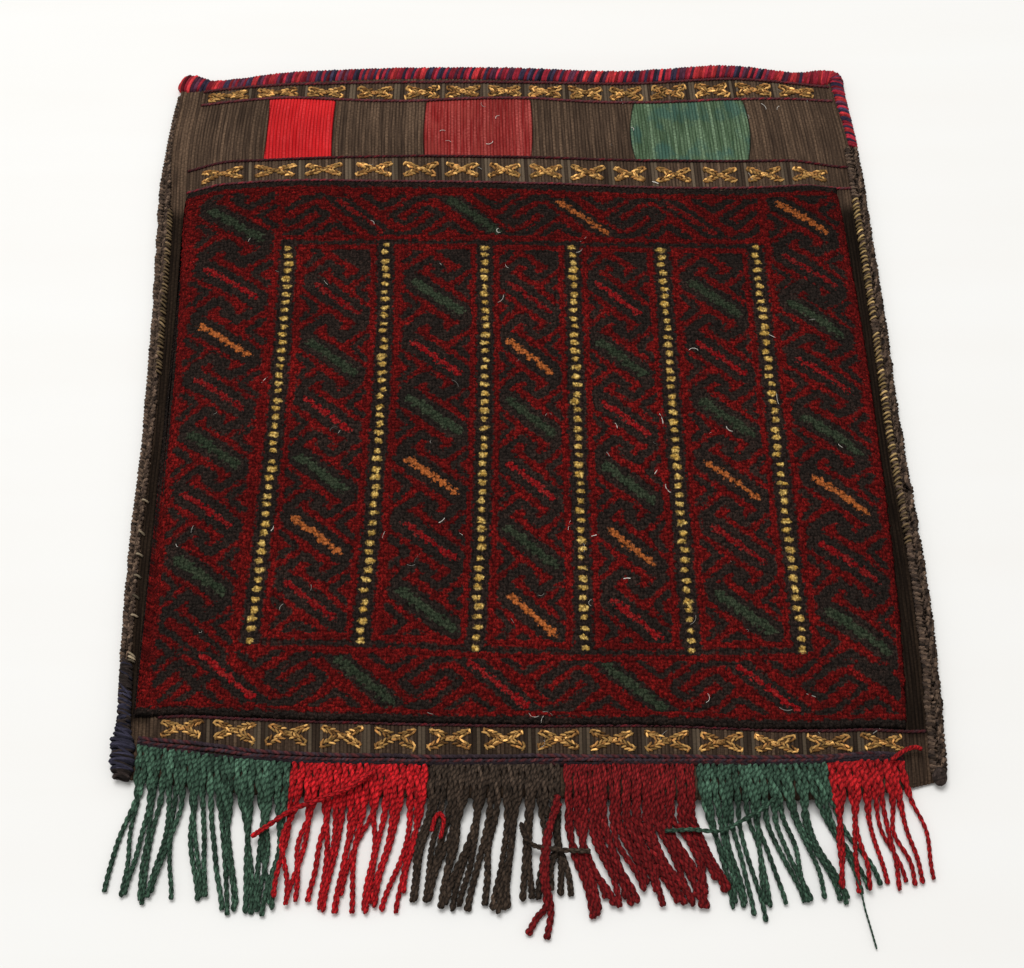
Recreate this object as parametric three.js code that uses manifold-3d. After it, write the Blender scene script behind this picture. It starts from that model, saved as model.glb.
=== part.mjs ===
// Hand-knotted wool bag with a fringe, lying flat on its back.
// Millimetres, +Z up, +Y toward the mouth; the origin is the middle of the underside of the back.
// One long cloth is folded at the bottom and sewn down at both sides, which leaves a pocket open at the mouth.

import * as THREE from 'three';
import { mergeVertices } from 'three/addons/utils/BufferGeometryUtils.js';
import Module from 'manifold-3d';

const wasm = await Module();
wasm.setup();

// Outline, measured over the side braids
const MOUTH_WIDTH = 570;
const FOLD_WIDTH = 558;
const FOLD_SHIFT = 11; // the fold lies this far to the right of the mouth
const BAG_LENGTH = 668; // from the fold to the tip of the mouth binding
const CLEARANCE = 0.3; // between pieces that touch

// Cloth and pocket
const CLOTH_THICK = 2.4;
const POCKET_GAP = 9;
const SEAM_MARGIN = 9; // width sewn flat, front on back, along each side
const SEAM_SLOPE = 28; // width over which the front rises from that seam
const FOLD_ANGLES = [90, 66, 44, 24, 9]; // stations round the fold, in degrees from its tip
const POCKET_PAST_LIP = 1; // the pocket's cut runs this far out of the mouth

// Knotted pile
const PILE_HEIGHT = 4.5;
const PILE_MARGIN = 10; // bare cloth between the pile and the side of the cloth
const MOUTH_STRIP = 136; // from the mouth to the pile
const FOLD_STRIP = 55; // from the fold to the pile
const PILE_ROUND = 2; // how far the pile's edges are rounded off

// Mouth binding
const ROLL_WIDTH = 12;
const ROLL_HEIGHT = 6.4;
const ROLL_SIDES = 10;
const LIP_FLAT = 8; // stretch of lip that lies level inside the roll
const LIP_RAMP = 16; // stretch over which a lip rises to the roll's middle
const KNOB_LENGTH = 22; // thick end of the binding at the left corner
const KNOB_SHAPE = [[0, 0.7], [0.15, 1.33], [0.45, 1.45], [0.8, 1.1]]; // share of that length, growth there
const CORNER_RUN = 88; // how far the binding runs down the right side

// Side braids and corners
const BRAID_WIDTH = 9;
const BRAID_HEIGHT = 7;
const WRAP_LENGTH = 74;
const WRAP_LAP = 7; // how far the wrap laps over the seam
const WRAP_HEIGHT = 8.8;
const KNOT_SIZE = 13;
const KNOT_HEIGHT = 11;

// Fringe
const HEADING_WIDTH = 5;
const HEADING_HEIGHT = 3;
const HEADING_LEFT_INSET = 9; // from the left side of the cloth
const HEADING_RIGHT_INSET = 19; // the fringe stops short of the right corner
const HEADING_RISE = 24; // from the fold to the heading at its lowest
const HEADING_BOW = 13; // how much higher the heading's left end lies
const HEADING_LOW_AT = 0.56; // share of its length at which the heading is lowest
const HEADING_STEPS = 16;
const CORD_DIAMETER = 4;
const CORD_SIDES = 6;
const CORD_PRESS = 1.16; // width at the heading, where cords are pressed together, over their pitch
const CORD_PRESSED = 10; // distance from the heading over which they stay pressed together
const CORD_PARTING = 4; // distance over which a cord then takes its own round section
const CORD_LANDING = 24; // distance past the fold at which a cord lies on the ground
const CORD_DROP_STOPS = [0.3, 0.65, 1]; // shares of that distance with a station of their own
const FRINGE_REACH = 70; // how far past the fold the cords end
const FRINGE_UNEVEN = 9;
const FRINGE_SWAY = 1.2;
const FRINGE_STEP = 0.6; // how much higher one cord may lie than another at the heading
const GROUP_GAP = 1.5; // between two colours of cord
const FRINGE_GROUPS = [
  { name: 'fringe_green_left', cords: 22, color: 0x1e5a46 },
  { name: 'fringe_red_left', cords: 19, color: 0xbe1928 },
  { name: 'fringe_brown', cords: 18, color: 0x322820 },
  { name: 'fringe_madder', cords: 18, color: 0x8c191e },
  { name: 'fringe_green_right', cords: 18, color: 0x1e5a46 },
  { name: 'fringe_red_right', cords: 10, color: 0xbe1928 },
];

// Levels and lines that follow from those sizes
const mouthY = BAG_LENGTH / 2;
const foldY = -BAG_LENGTH / 2;
const lipY = mouthY - ROLL_WIDTH - CLEARANCE;
const seamHeight = 2 * CLOTH_THICK;
const bagHeight = 2 * CLOTH_THICK + POCKET_GAP;
const lipLift = (ROLL_HEIGHT - CLOTH_THICK) / 2;
const slopeInset = SEAM_MARGIN + SEAM_SLOPE;

const fromMouth = (y) => (mouthY - y) / BAG_LENGTH;
const middleX = (y) => FOLD_SHIFT * fromMouth(y);
const halfWidth = (y) => THREE.MathUtils.lerp(MOUTH_WIDTH, FOLD_WIDTH, fromMouth(y)) / 2;
const clothHalf = (y) => halfWidth(y) - BRAID_WIDTH - CLEARANCE;
const sectionHalf = clothHalf(mouthY);

// How far the front has risen from the seam, 0 to 1, at a distance in from the side of the cloth.
const rise = (inset) => THREE.MathUtils.clamp((inset - SEAM_MARGIN) / SEAM_SLOPE, 0, 1);
const frontTop = (inset) => THREE.MathUtils.lerp(seamHeight, bagHeight, rise(inset));
const lift = (y) => lipLift * THREE.MathUtils.clamp((y - lipY + LIP_FLAT + LIP_RAMP) / LIP_RAMP, 0, 1);
const insetAt = (x, y) => clothHalf(y) - Math.abs(x - middleX(y));

// Extrudes an outline through one station per step; place(u, v, station) gives each point its position.
function sweep(outline, stations, place) {
  const steps = stations.length - 1;
  const shape = new THREE.Shape(outline);
  const geometry = new THREE.ExtrudeGeometry(shape, { depth: steps, steps, bevelEnabled: false });
  const position = geometry.getAttribute('position');
  for (let i = 0; i < position.count; i += 1) {
    const station = stations[Math.round(position.getZ(i))];
    const point = place(position.getX(i), position.getY(i), station);
    position.setXYZ(i, point.x, point.y, point.z);
  }
  return closed(geometry);
}

function closed(geometry) {
  geometry.deleteAttribute('normal');
  geometry.deleteAttribute('uv');
  const merged = mergeVertices(geometry, 1e-4);
  merged.computeVertexNormals();
  return merged;
}

function toSolid(geometry) {
  const vertProperties = new Float32Array(geometry.getAttribute('position').array);
  const triVerts = new Uint32Array(geometry.getIndex().array);
  return new wasm.Manifold(new wasm.Mesh({ numProp: 3, vertProperties, triVerts }));
}

function toGeometry(solid) {
  const mesh = solid.getMesh();
  const geometry = new THREE.BufferGeometry();
  geometry.setAttribute('position', new THREE.BufferAttribute(mesh.vertProperties, 3));
  geometry.setIndex(new THREE.BufferAttribute(mesh.triVerts, 1));
  geometry.computeVertexNormals();
  return geometry;
}

// Points of an ellipse, the first at the given angle, counter-clockwise.
function ellipse(halfU, halfV, sides, start = 0) {
  return Array.from({ length: sides }, (_, k) => {
    const angle = start + (2 * Math.PI * k) / sides;
    return new THREE.Vector2(halfU * Math.cos(angle), halfV * Math.sin(angle));
  });
}

const points = (pairs) => pairs.map(([u, v]) => new THREE.Vector2(u, v));

// A cross-section of the bag is carried along its length: u is measured from the middle at the mouth's width,
// so that distances from the side of the cloth stay the same where the bag is narrower.
function alongBag(u, v, station) {
  const inset = sectionHalf - Math.abs(u);
  const y = station.y;
  const level = frontTop(inset) / 2;
  const x = middleX(y) + Math.sign(u) * (clothHalf(y) - inset);
  return new THREE.Vector3(x, y, level + (v - level) * station.open + lift(y));
}

// Stations from the mouth to a fold whose end is rounded to the given radius.
function foldedStations(startY, endY, radius) {
  const straight = [startY, lipY - LIP_FLAT, lipY - LIP_FLAT - LIP_RAMP].map((y) => ({ y, open: 1 }));
  const round = FOLD_ANGLES.map((degrees) => {
    const angle = THREE.MathUtils.degToRad(degrees);
    return { y: endY + radius * (1 - Math.cos(angle)), open: Math.sin(angle) };
  });
  return [...straight, ...round];
}

function bagCloth() {
  const outer = points([
    [-sectionHalf, 0],
    [sectionHalf, 0],
    [sectionHalf, seamHeight],
    [sectionHalf - SEAM_MARGIN, seamHeight],
    [sectionHalf - slopeInset, bagHeight],
    [-(sectionHalf - slopeInset), bagHeight],
    [-(sectionHalf - SEAM_MARGIN), seamHeight],
    [-sectionHalf, seamHeight],
  ]);
  const pocket = points([
    [-(sectionHalf - SEAM_MARGIN), CLOTH_THICK],
    [sectionHalf - SEAM_MARGIN, CLOTH_THICK],
    [sectionHalf - slopeInset, bagHeight - CLOTH_THICK],
    [-(sectionHalf - slopeInset), bagHeight - CLOTH_THICK],
  ]);
  const whole = sweep(outer, foldedStations(lipY, foldY, bagHeight / 2), alongBag);
  const hollow = sweep(pocket, foldedStations(lipY + POCKET_PAST_LIP, foldY + CLOTH_THICK, POCKET_GAP / 2), alongBag);
  return toGeometry(toSolid(whole).subtract(toSolid(hollow)));
}

// The pile follows the rise of the front and is rounded off along its four edges.
function knottedPile() {
  const side = sectionHalf - PILE_MARGIN;
  const shoulder = sectionHalf - slopeInset;
  const foot = frontTop(PILE_MARGIN) + CLEARANCE;
  const bed = bagHeight + CLEARANCE;
  const section = points([
    [-side, foot],
    [-shoulder, bed],
    [shoulder, bed],
    [side, foot],
    [side, foot + PILE_HEIGHT - PILE_ROUND],
    [side - PILE_ROUND, foot + PILE_HEIGHT],
    [shoulder - PILE_ROUND, bed + PILE_HEIGHT],
    [-(shoulder - PILE_ROUND), bed + PILE_HEIGHT],
    [-(side - PILE_ROUND), foot + PILE_HEIGHT],
    [-side, foot + PILE_HEIGHT - PILE_ROUND],
  ]);
  const topY = mouthY - MOUTH_STRIP;
  const bottomY = foldY + FOLD_STRIP;
  const edge = 1 - PILE_ROUND / PILE_HEIGHT;
  const stations = [
    { y: topY, height: edge },
    { y: topY - PILE_ROUND, height: 1 },
    { y: bottomY + PILE_ROUND, height: 1 },
    { y: bottomY, height: edge },
  ];
  return sweep(section, stations, (u, v, { y, height }) => {
    const inset = sectionHalf - Math.abs(u);
    const base = frontTop(inset) + CLEARANCE;
    const x = middleX(y) + Math.sign(u) * (clothHalf(y) - inset);
    return new THREE.Vector3(x, y, base + (v - base) * height);
  });
}

// A roll is carried along a path; out is the direction away from the cloth, and grow thickens it outward.
function roll(stations) {
  const section = ellipse(ROLL_WIDTH / 2, ROLL_HEIGHT / 2, ROLL_SIDES);
  return sweep(section, stations, (u, v, { at, out, grow }) => {
    const outward = -ROLL_WIDTH / 2 + (u + ROLL_WIDTH / 2) * grow;
    const up = Math.max(at.z, (ROLL_HEIGHT / 2) * grow) + v * grow;
    return new THREE.Vector3(at.x + out.x * outward, at.y + out.y * outward, up);
  });
}

// The front lip's roll starts in a thick knob at the left corner, follows the front down to both seams,
// turns round the right corner and ends part of the way down that side.
function frontBinding() {
  const lipLine = lipY + CLEARANCE + ROLL_WIDTH / 2;
  const seamLevel = seamHeight / 2 + lipLift;
  const lipLevel = bagHeight - CLOTH_THICK / 2 + lipLift;
  const level = (inset) => THREE.MathUtils.lerp(seamLevel, lipLevel, rise(inset));
  const onLip = (inset, side, grow = 1) => ({
    at: new THREE.Vector3(middleX(lipLine) + side * (clothHalf(lipY) - inset), lipLine, level(inset)),
    out: new THREE.Vector2(0, 1),
    grow,
  });
  const leftEnd = -(BRAID_WIDTH + CLEARANCE);
  const knob = KNOB_SHAPE.map(([share, grow]) => onLip(leftEnd + KNOB_LENGTH * share, -1, grow));
  const lip = [
    onLip(leftEnd + KNOB_LENGTH, -1),
    onLip(slopeInset, -1),
    onLip(slopeInset, 1),
    onLip(SEAM_MARGIN, 1),
  ];
  const cornerInner = 2 * CLEARANCE;
  const cornerRadius = cornerInner + ROLL_WIDTH / 2;
  const cornerX = middleX(lipY) + clothHalf(lipY) + CLEARANCE - cornerInner;
  const cornerY = lipY + CLEARANCE - cornerInner;
  const corner = [90, 67.5, 45, 22.5].map((degrees) => {
    const angle = THREE.MathUtils.degToRad(degrees);
    const out = new THREE.Vector2(Math.cos(angle), Math.sin(angle));
    const at = new THREE.Vector3(cornerX + cornerRadius * out.x, cornerY + cornerRadius * out.y, seamLevel);
    return { at, out, grow: 1 };
  });
  const side = [cornerY, mouthY - CORNER_RUN].map((y) => {
    const x = middleX(y) + clothHalf(y) + CLEARANCE + ROLL_WIDTH / 2;
    return { at: new THREE.Vector3(x, y, seamLevel), out: new THREE.Vector2(1, 0), grow: 1 };
  });
  return roll([...knob, ...lip, ...corner, ...side]);
}

// The back lip's roll stops where the front comes down to the seam.
function backBinding() {
  const lipLine = lipY + CLEARANCE + ROLL_WIDTH / 2;
  const level = CLOTH_THICK / 2 + lipLift;
  const end = clothHalf(lipY) - slopeInset + SEAM_MARGIN / 2;
  const stations = [-end, end].map((offset) => ({
    at: new THREE.Vector3(middleX(lipLine) + offset, lipLine, level),
    out: new THREE.Vector2(0, 1),
    grow: 1,
  }));
  return roll(stations);
}

function sideBraid(side, startY, endY) {
  const section = ellipse(BRAID_WIDTH / 2, BRAID_HEIGHT / 2, ROLL_SIDES);
  return sweep(section, [startY, endY], (u, v, y) => {
    const x = middleX(y) + side * (clothHalf(y) + CLEARANCE + BRAID_WIDTH / 2);
    return new THREE.Vector3(x + u, y, BRAID_HEIGHT / 2 + v);
  });
}

// Yarn wound round the lower left corner: it closes the end of the braid's line and laps over the seam.
function leftCornerWrap() {
  const outside = -(BRAID_WIDTH + CLEARANCE);
  const lapLevel = seamHeight + CLEARANCE;
  const bevel = WRAP_HEIGHT / 4;
  const section = points([
    [outside + bevel, 0],
    [-CLEARANCE, 0],
    [-CLEARANCE, lapLevel],
    [WRAP_LAP, lapLevel],
    [WRAP_LAP - bevel / 2, WRAP_HEIGHT - bevel / 2],
    [WRAP_LAP - bevel, WRAP_HEIGHT],
    [outside + bevel, WRAP_HEIGHT],
    [outside, WRAP_HEIGHT - bevel],
    [outside, bevel],
  ]);
  const stations = [foldY + WRAP_LENGTH, foldY];
  return sweep(section, stations, (u, v, y) => {
    return new THREE.Vector3(middleX(y) - clothHalf(y) + u, y, v);
  });
}

// Knot that ends the right braid.
function rightCornerKnot() {
  const radius = KNOT_SIZE / 2;
  const knot = new THREE.SphereGeometry(radius, ROLL_SIDES + 2, ROLL_SIDES);
  const y = foldY + radius;
  knot.scale(1, 1, KNOT_HEIGHT / KNOT_SIZE);
  knot.translate(middleX(foldY) + clothHalf(foldY) + CLEARANCE + radius, y, KNOT_HEIGHT / 2);
  return closed(knot);
}

// The heading lies on the front just above the fold and bows up toward its ends. On the slopes it rides as high
// as the cloth half its width further in, which keeps it clear of the cloth where the slope's edge runs askew.
const headingLow = foldY + HEADING_RISE;
const headingLeft = middleX(headingLow) - clothHalf(headingLow) + HEADING_LEFT_INSET;
const headingRight = middleX(headingLow) + clothHalf(headingLow) - HEADING_RIGHT_INSET;
const headingCentre = THREE.MathUtils.lerp(headingLeft, headingRight, HEADING_LOW_AT);
const headingY = (x) => headingLow + HEADING_BOW * ((x - headingCentre) / (headingCentre - headingLeft)) ** 2;

function fringeHeading() {
  const half = HEADING_WIDTH / 2;
  const section = points([
    [-half, 0],
    [half, 0],
    [half, HEADING_HEIGHT / 2],
    [half / 2, HEADING_HEIGHT],
    [-half / 2, HEADING_HEIGHT],
    [-half, HEADING_HEIGHT / 2],
  ]);
  const levelHalf = clothHalf(headingLow) - slopeInset + half;
  const level = Array.from({ length: HEADING_STEPS + 1 }, (_, k) => {
    return middleX(headingLow) + levelHalf * ((2 * k) / HEADING_STEPS - 1);
  });
  const stations = [headingLeft, ...level, headingRight];
  return sweep(section, stations, (u, v, x) => {
    const y = headingY(x);
    return new THREE.Vector3(x, y + u, frontTop(insetAt(x, y) + half) + CLEARANCE + v);
  });
}

// A repeatable spread of values between -1 and 1, one for each cord, by steps of the golden section.
const GOLDEN_SECTION = (Math.sqrt(5) - 1) / 2;
const spread = (k) => 2 * ((k * GOLDEN_SECTION) % 1) - 1;

const cordTotal = FRINGE_GROUPS.reduce((sum, group) => sum + group.cords, 0);
const groupGaps = GROUP_GAP * (FRINGE_GROUPS.length - 1);
const cordPitch = (headingRight - headingLeft - groupGaps) / cordTotal;

// A cord leaves the heading on the front, drops over the fold and lies on the ground, swayed to one side.
function cord(x, reach, sway, step) {
  const startY = headingY(x) - HEADING_WIDTH / 2 - CLEARANCE;
  const radius = CORD_DIAMETER / 2;
  const top = frontTop(insetAt(x, startY)) + CLEARANCE + radius + step;
  const ground = radius + CLEARANCE;
  const endY = foldY - reach;
  const stops = [
    startY,
    startY - CORD_PRESSED,
    startY - CORD_PRESSED - CORD_PARTING,
    foldY + radius,
    ...CORD_DROP_STOPS.map((share) => foldY - CORD_LANDING * share),
    endY,
  ];
  const path = stops.map((y) => {
    const fall = THREE.MathUtils.smoothstep(foldY + radius - y, 0, CORD_LANDING + radius);
    const out = Math.max(0, (foldY - y) / reach);
    return new THREE.Vector3(x + sway * out ** 2, y, THREE.MathUtils.lerp(top, ground, fall));
  });
  const stations = path.map((at, k) => {
    const ahead = path[Math.min(k + 1, path.length - 1)].clone().sub(path[Math.max(k - 1, 0)]);
    const up = new THREE.Vector2(ahead.z, -ahead.y).normalize();
    const own = THREE.MathUtils.smoothstep(startY - CORD_PRESSED - at.y, 0, CORD_PARTING);
    const flat = (cordPitch * CORD_PRESS) / (2 * Math.cos(Math.PI / CORD_SIDES));
    return { at, up, wide: THREE.MathUtils.lerp(flat, radius, own) };
  });
  const section = ellipse(1, 1, CORD_SIDES, Math.PI / CORD_SIDES);
  return sweep(section, stations, (u, v, { at, up, wide }) => {
    return new THREE.Vector3(at.x + u * wide, at.y + v * up.x * radius, at.z + v * up.y * radius);
  });
}

// Cords of one colour touch each other at the heading, where they become one piece.
function fringeGroup(groupIndex) {
  const before = FRINGE_GROUPS.slice(0, groupIndex).reduce((sum, group) => sum + group.cords, 0);
  const count = FRINGE_GROUPS[groupIndex].cords;
  let joined = null;
  for (let k = 0; k < count; k += 1) {
    const x = headingLeft + (before + k + 0.5) * cordPitch + groupIndex * GROUP_GAP;
    const reach = FRINGE_REACH + FRINGE_UNEVEN * spread(before + k);
    const sway = FRINGE_SWAY * Math.sin((2 * Math.PI * (k + 0.5)) / count);
    const step = (FRINGE_STEP * (1 + spread(5 * (before + k) + 1))) / 2;
    const solid = toSolid(cord(x, reach, sway, step));
    joined = joined ? joined.add(solid) : solid;
  }
  return toGeometry(joined);
}

const bag = new THREE.Group();

function addPiece(name, geometry, color) {
  const material = new THREE.MeshStandardMaterial({ color, roughness: 0.95, metalness: 0 });
  const mesh = new THREE.Mesh(geometry, material);
  mesh.name = name;
  bag.add(mesh);
}

addPiece('bag_cloth', bagCloth(), 0x4b3e2d);
addPiece('knotted_pile', knottedPile(), 0x5a1014);
addPiece('mouth_binding_front', frontBinding(), 0x8c1428);
addPiece('mouth_binding_back', backBinding(), 0x8c1428);
addPiece('side_braid_left', sideBraid(-1, lipY, foldY + WRAP_LENGTH + CLEARANCE), 0x3a3026);
addPiece('side_braid_right', sideBraid(1, mouthY - CORNER_RUN - CLEARANCE, foldY + KNOT_SIZE + CLEARANCE), 0x3a3026);
addPiece('corner_wrap_left', leftCornerWrap(), 0x1c2140);
addPiece('corner_wrap_right', rightCornerKnot(), 0x2a2320);
addPiece('fringe_heading', fringeHeading(), 0x4a1f2c);
FRINGE_GROUPS.forEach((group, index) => addPiece(group.name, fringeGroup(index), group.color));

export default bag;
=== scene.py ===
"""Looks of a hand-knotted wool bag with a fringe, in metres, built round its CAD part in the CAD's frame."""

import math

import bpy
import numpy as np
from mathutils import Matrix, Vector


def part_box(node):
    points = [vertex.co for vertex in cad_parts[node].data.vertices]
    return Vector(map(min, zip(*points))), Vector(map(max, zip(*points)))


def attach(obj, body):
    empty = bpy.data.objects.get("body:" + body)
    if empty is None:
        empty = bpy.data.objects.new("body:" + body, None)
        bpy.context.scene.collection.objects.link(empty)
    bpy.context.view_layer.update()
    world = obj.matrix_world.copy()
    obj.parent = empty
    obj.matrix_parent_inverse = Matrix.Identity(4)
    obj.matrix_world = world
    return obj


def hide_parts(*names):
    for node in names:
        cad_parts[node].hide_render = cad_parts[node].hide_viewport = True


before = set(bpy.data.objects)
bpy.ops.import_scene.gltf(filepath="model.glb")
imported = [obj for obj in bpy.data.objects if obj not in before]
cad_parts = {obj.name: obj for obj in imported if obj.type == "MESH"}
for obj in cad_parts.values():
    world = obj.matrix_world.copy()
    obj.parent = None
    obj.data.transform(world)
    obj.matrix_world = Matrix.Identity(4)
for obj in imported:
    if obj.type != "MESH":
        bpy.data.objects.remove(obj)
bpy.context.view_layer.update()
bpy.context.scene.view_settings.view_transform = "Standard"


# Setting. A plain pale floor in soft daylight that comes mostly from the upper left. The camera stands at the
# fringe end and looks steeply down on the bag, as in the photograph.
VIEW_FROM, VIEW_TILT = (0.0, -0.7554, 1.075), math.radians(31.97)
VIEW_LENS, VIEW_FILM = 60.0, 36.0
LAMP_FROM, LAMP_SIZE, LAMP_POWER = (-0.6, 0.7, 4.0), 2.35, 115.0
SKY_WHITE, SKY_STRENGTH = (1.0, 0.995, 0.985, 1.0), 0.52
FLOOR_REACH, FLOOR_ROUGH = 4.0, 0.7
FLOOR_CLOUDS, FLOOR_GRAIN = 3.0, (1.0, 6.0, 1.0)
MATT_GLOSS, SHEEN_ROUGH = 0.06, 0.6


def srgb(red, green, blue):
    """Linear colour of a shade given in steps of 255: the display curve undone for each channel."""
    shade = np.array([red, green, blue]) / 255
    return np.where(shade <= 0.04045, shade / 12.92, ((shade + 0.055) / 1.055) ** 2.4)


def node(tree, kind, feeds=None, **settings):
    """Adds a node, sets its properties, and feeds its inputs from other nodes' sockets, from values, or from
    colours, which get full alpha."""
    made = tree.nodes.new(kind)
    for name, value in settings.items():
        setattr(made, name, value)
    for name, value in (feeds or {}).items():
        if isinstance(value, bpy.types.NodeSocket):
            tree.links.new(value, made.inputs[name])
        else:
            made.inputs[name].default_value = (*value, 1.0) if isinstance(value, np.ndarray) else value
    return made


def blend(tree, share, first, second, kind="MIX"):
    """The first colour with a share of the second laid over it."""
    feeds = {0: share, 6: first, 7: second}
    return node(tree, "ShaderNodeMix", feeds, data_type="RGBA", blend_type=kind).outputs[2]


def noise(tree, place, scale, detail=2.0, stretch=(1.0, 1.0, 1.0)):
    """Cloudy values from 0 to 1 at a place that is first stretched along its axes."""
    stretched = node(tree, "ShaderNodeMapping", {"Vector": place, "Scale": stretch}).outputs[0]
    feeds = {"Vector": stretched, "Scale": scale, "Detail": detail}
    return node(tree, "ShaderNodeTexNoise", feeds).outputs[0]


def coat(name, roughness, sheen=0.0):
    """A material with a plain roughness and sheen, its node tree and its shader."""
    made = bpy.data.materials.new(name)
    made.use_nodes = True
    shader = made.node_tree.nodes["Principled BSDF"]
    for socket, value in (("Roughness", roughness), ("Sheen Weight", sheen), ("Sheen Roughness", SHEEN_ROUGH),
                          ("Specular IOR Level", MATT_GLOSS)):
        shader.inputs[socket].default_value = value
    return made, made.node_tree, shader


def placed(name, shape, place=(0, 0, 0), turn=(0, 0, 0)):
    """Puts a mesh, a lamp or a camera into the scene."""
    made = bpy.data.objects.new(name, shape)
    made.location, made.rotation_euler = place, turn
    bpy.context.scene.collection.objects.link(made)
    return made


view = bpy.data.cameras.new("view")
view.lens, view.sensor_width = VIEW_LENS, VIEW_FILM
bpy.context.scene.camera = placed("view", view, VIEW_FROM, (VIEW_TILT, 0.0, 0.0))

daylight = bpy.data.lights.new("daylight", "AREA")
daylight.shape, daylight.size, daylight.energy = "SQUARE", LAMP_SIZE, LAMP_POWER
placed("daylight", daylight, LAMP_FROM, (-Vector(LAMP_FROM)).to_track_quat("-Z", "Y").to_euler())

sky = bpy.data.worlds.new("sky")
sky.use_nodes = True
sky.node_tree.nodes["Background"].inputs["Color"].default_value = SKY_WHITE
sky.node_tree.nodes["Background"].inputs["Strength"].default_value = SKY_STRENGTH
bpy.context.scene.world = sky

floor_coat, tree, shader = coat("floor_pale", FLOOR_ROUGH)
floor_place = node(tree, "ShaderNodeTexCoord").outputs["Object"]
floor_cloud = noise(tree, floor_place, FLOOR_CLOUDS, stretch=FLOOR_GRAIN)
floor_colour = blend(tree, floor_cloud, srgb(240, 240, 238), srgb(237, 235, 231))
tree.links.new(floor_colour, shader.inputs["Base Color"])
floor_mesh = bpy.data.meshes.new("floor")
floor_corners = FLOOR_REACH * np.array([(-1, -1, 0), (1, -1, 0), (1, 1, 0), (-1, 1, 0)])
floor_mesh.from_pydata(floor_corners.tolist(), [], [(0, 1, 2, 3)])
floor_mesh.materials.append(floor_coat)
placed("floor", floor_mesh)


# Cloth. One long wool cloth, ribbed along its length, is folded at the bottom and sewn front on back at both
# sides. Blocks of red, madder and green are woven into its plain brown front below the mouth.
MM = 0.001
cloth_low, cloth_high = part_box("bag_cloth")
LIP_Y, FOLD_Y = cloth_high.y, cloth_low.y
CLOTH_THICK, POCKET_GAP = 2.4 * MM, 9 * MM
FOLD_RADIUS, FOLD_STEPS, FOLD_TURN = CLOTH_THICK + POCKET_GAP / 2, 9, 80
SEAM_MARGIN, SEAM_SLOPE = 5 * MM, 46 * MM
MOUTH_FROM, MOUTH_REACH, MOUTH_GENTLER = 200 * MM, 100 * MM, 1.2
SWELL, SWELL_ACROSS, SWELL_ALONG = 1.1 * MM, (2.3, 0.6), (13, 0.8)  # height, and each wave's rate and start
LIP_LIFT, LIP_RAMP = 2 * MM, 16 * MM
EDGE_Y = np.array([-334, -243, -143, -43, 57, 157, 257, 322]) * MM
LEFT_X = np.array([-260, -267, -272, -273.5, -278, -283, -288.5, -284]) * MM
RIGHT_X = np.array([282, 286.5, 287.5, 286, 287, 286.5, 284, 277]) * MM
PULL_S = np.array([-1, -0.88, -0.7, -0.35, 0, 0.35, 0.7, 0.88, 1])
PULL_Y = np.array([-334, -309.5, -294.5, -277, -150, 60, 200, 229, 295, 313, 322]) * MM
PULL = np.array([  # a row for each line across, a column for each share of the width
    (15.5, 10, 3.6, 0.9, 0.4, -0.8, -0.6, 4.8, 12.7), (18.9, 10.6, 3.2, -1.3, -1.3, -1.2, -0.8, 2.5, 5.8),
    (11.5, 9.2, 5.6, 1, 0.1, -1.3, -3.7, -1.3, 0.3), (8.7, 5.5, 2.5, -0.5, -2.5, -2.5, -5.5, -4, 0),
    (0, 0, 0, 0, 0, 0, 0, 0, 0), (0, 0, 0, 0, 0, 0, 0, 0, 0),
    (-7, -4.5, 0.2, 0.2, -1, -5.9, -6.7, -2.7, 1.9), (-13.5, -8.8, -5.4, -1.1, -1.6, -5.4, -5.7, -4.9, -4.7),
    (-3, 0.3, -0.5, -4.9, -0.5, -5.2, 0.5, 5.6, 5), (-7.5, -3.7, -4.7, -1.4, -0.3, -1.6, 4.5, 4.6, 1.3),
    (-3, -6.8, -5.4, -0.3, 0, -4, 3.6, 2.7, 4)]) * MM
RIBS, RIB_STOPS, RIB_PITCH = 208, 4, 2.6 * MM
RIB_DEPTH, RIB_FULL, WEFT_PITCH = 0.5 * MM, 0.6, 2.2 * MM
TOP_ROWS, BED_ROWS = (188 * MM, 34), (168 * MM, -268 * MM, 14)  # ends and number, fewer under the pile
FOOT_ROWS, BACK_ROWS = (-280 * MM, 15), 26
INNER_EVERY, INNER_SLACK, INNER_OFF = 8, 0.1 * MM, 0.5
MAP_RIM, HIDDEN_MAP = 0.002, 0.999
OUTER_MAP, INNER_MAP = (0, 0.9), (0.91, 0.98)
STRIP_A, STRIP_B, STRIP_C = (295 * MM, 313 * MM), (200 * MM, 229 * MM), (-307 * MM, -284 * MM)
UPPER_CROSSES = np.array([-244, -200, -159, -117, -77, -42, -6, 28, 63, 97, 134, 171, 207, 245]) * MM
MIDDLE_DRIFT = np.interp(UPPER_CROSSES, np.array([-244, 0, 100, 245]) * MM, np.array([5, 0, 0, 2]) * MM)
MIDDLE_CROSSES = UPPER_CROSSES + MIDDLE_DRIFT
LOWER_CROSSES = np.linspace(-223, 249, 14) * MM
DIVIDER_HALF = 5 * MM
BLOCKS = np.array([  # middle, half width and bulge of each
    (-178.5, 28.0, -1.0), (-28.5, 44.0, 1.5), (150.0, 46.0, 4.0)]) * MM
OUTSIDE = -50 * MM
SELVAGE_S, SELVAGE_BLUR = 0.92, 0.025
SELVAGE_LOW, SELVAGE_HIGH, SELVAGE_FADE = -300 * MM, 190 * MM, 20 * MM
FOOT_SHADE, FOOT_SHADE_Y, FOOT_SHADE_FADE = 0.42, -279 * MM, 8 * MM
BROWN_DARK, BROWN_TAN = srgb(60, 47, 38), srgb(116, 93, 74)
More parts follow.
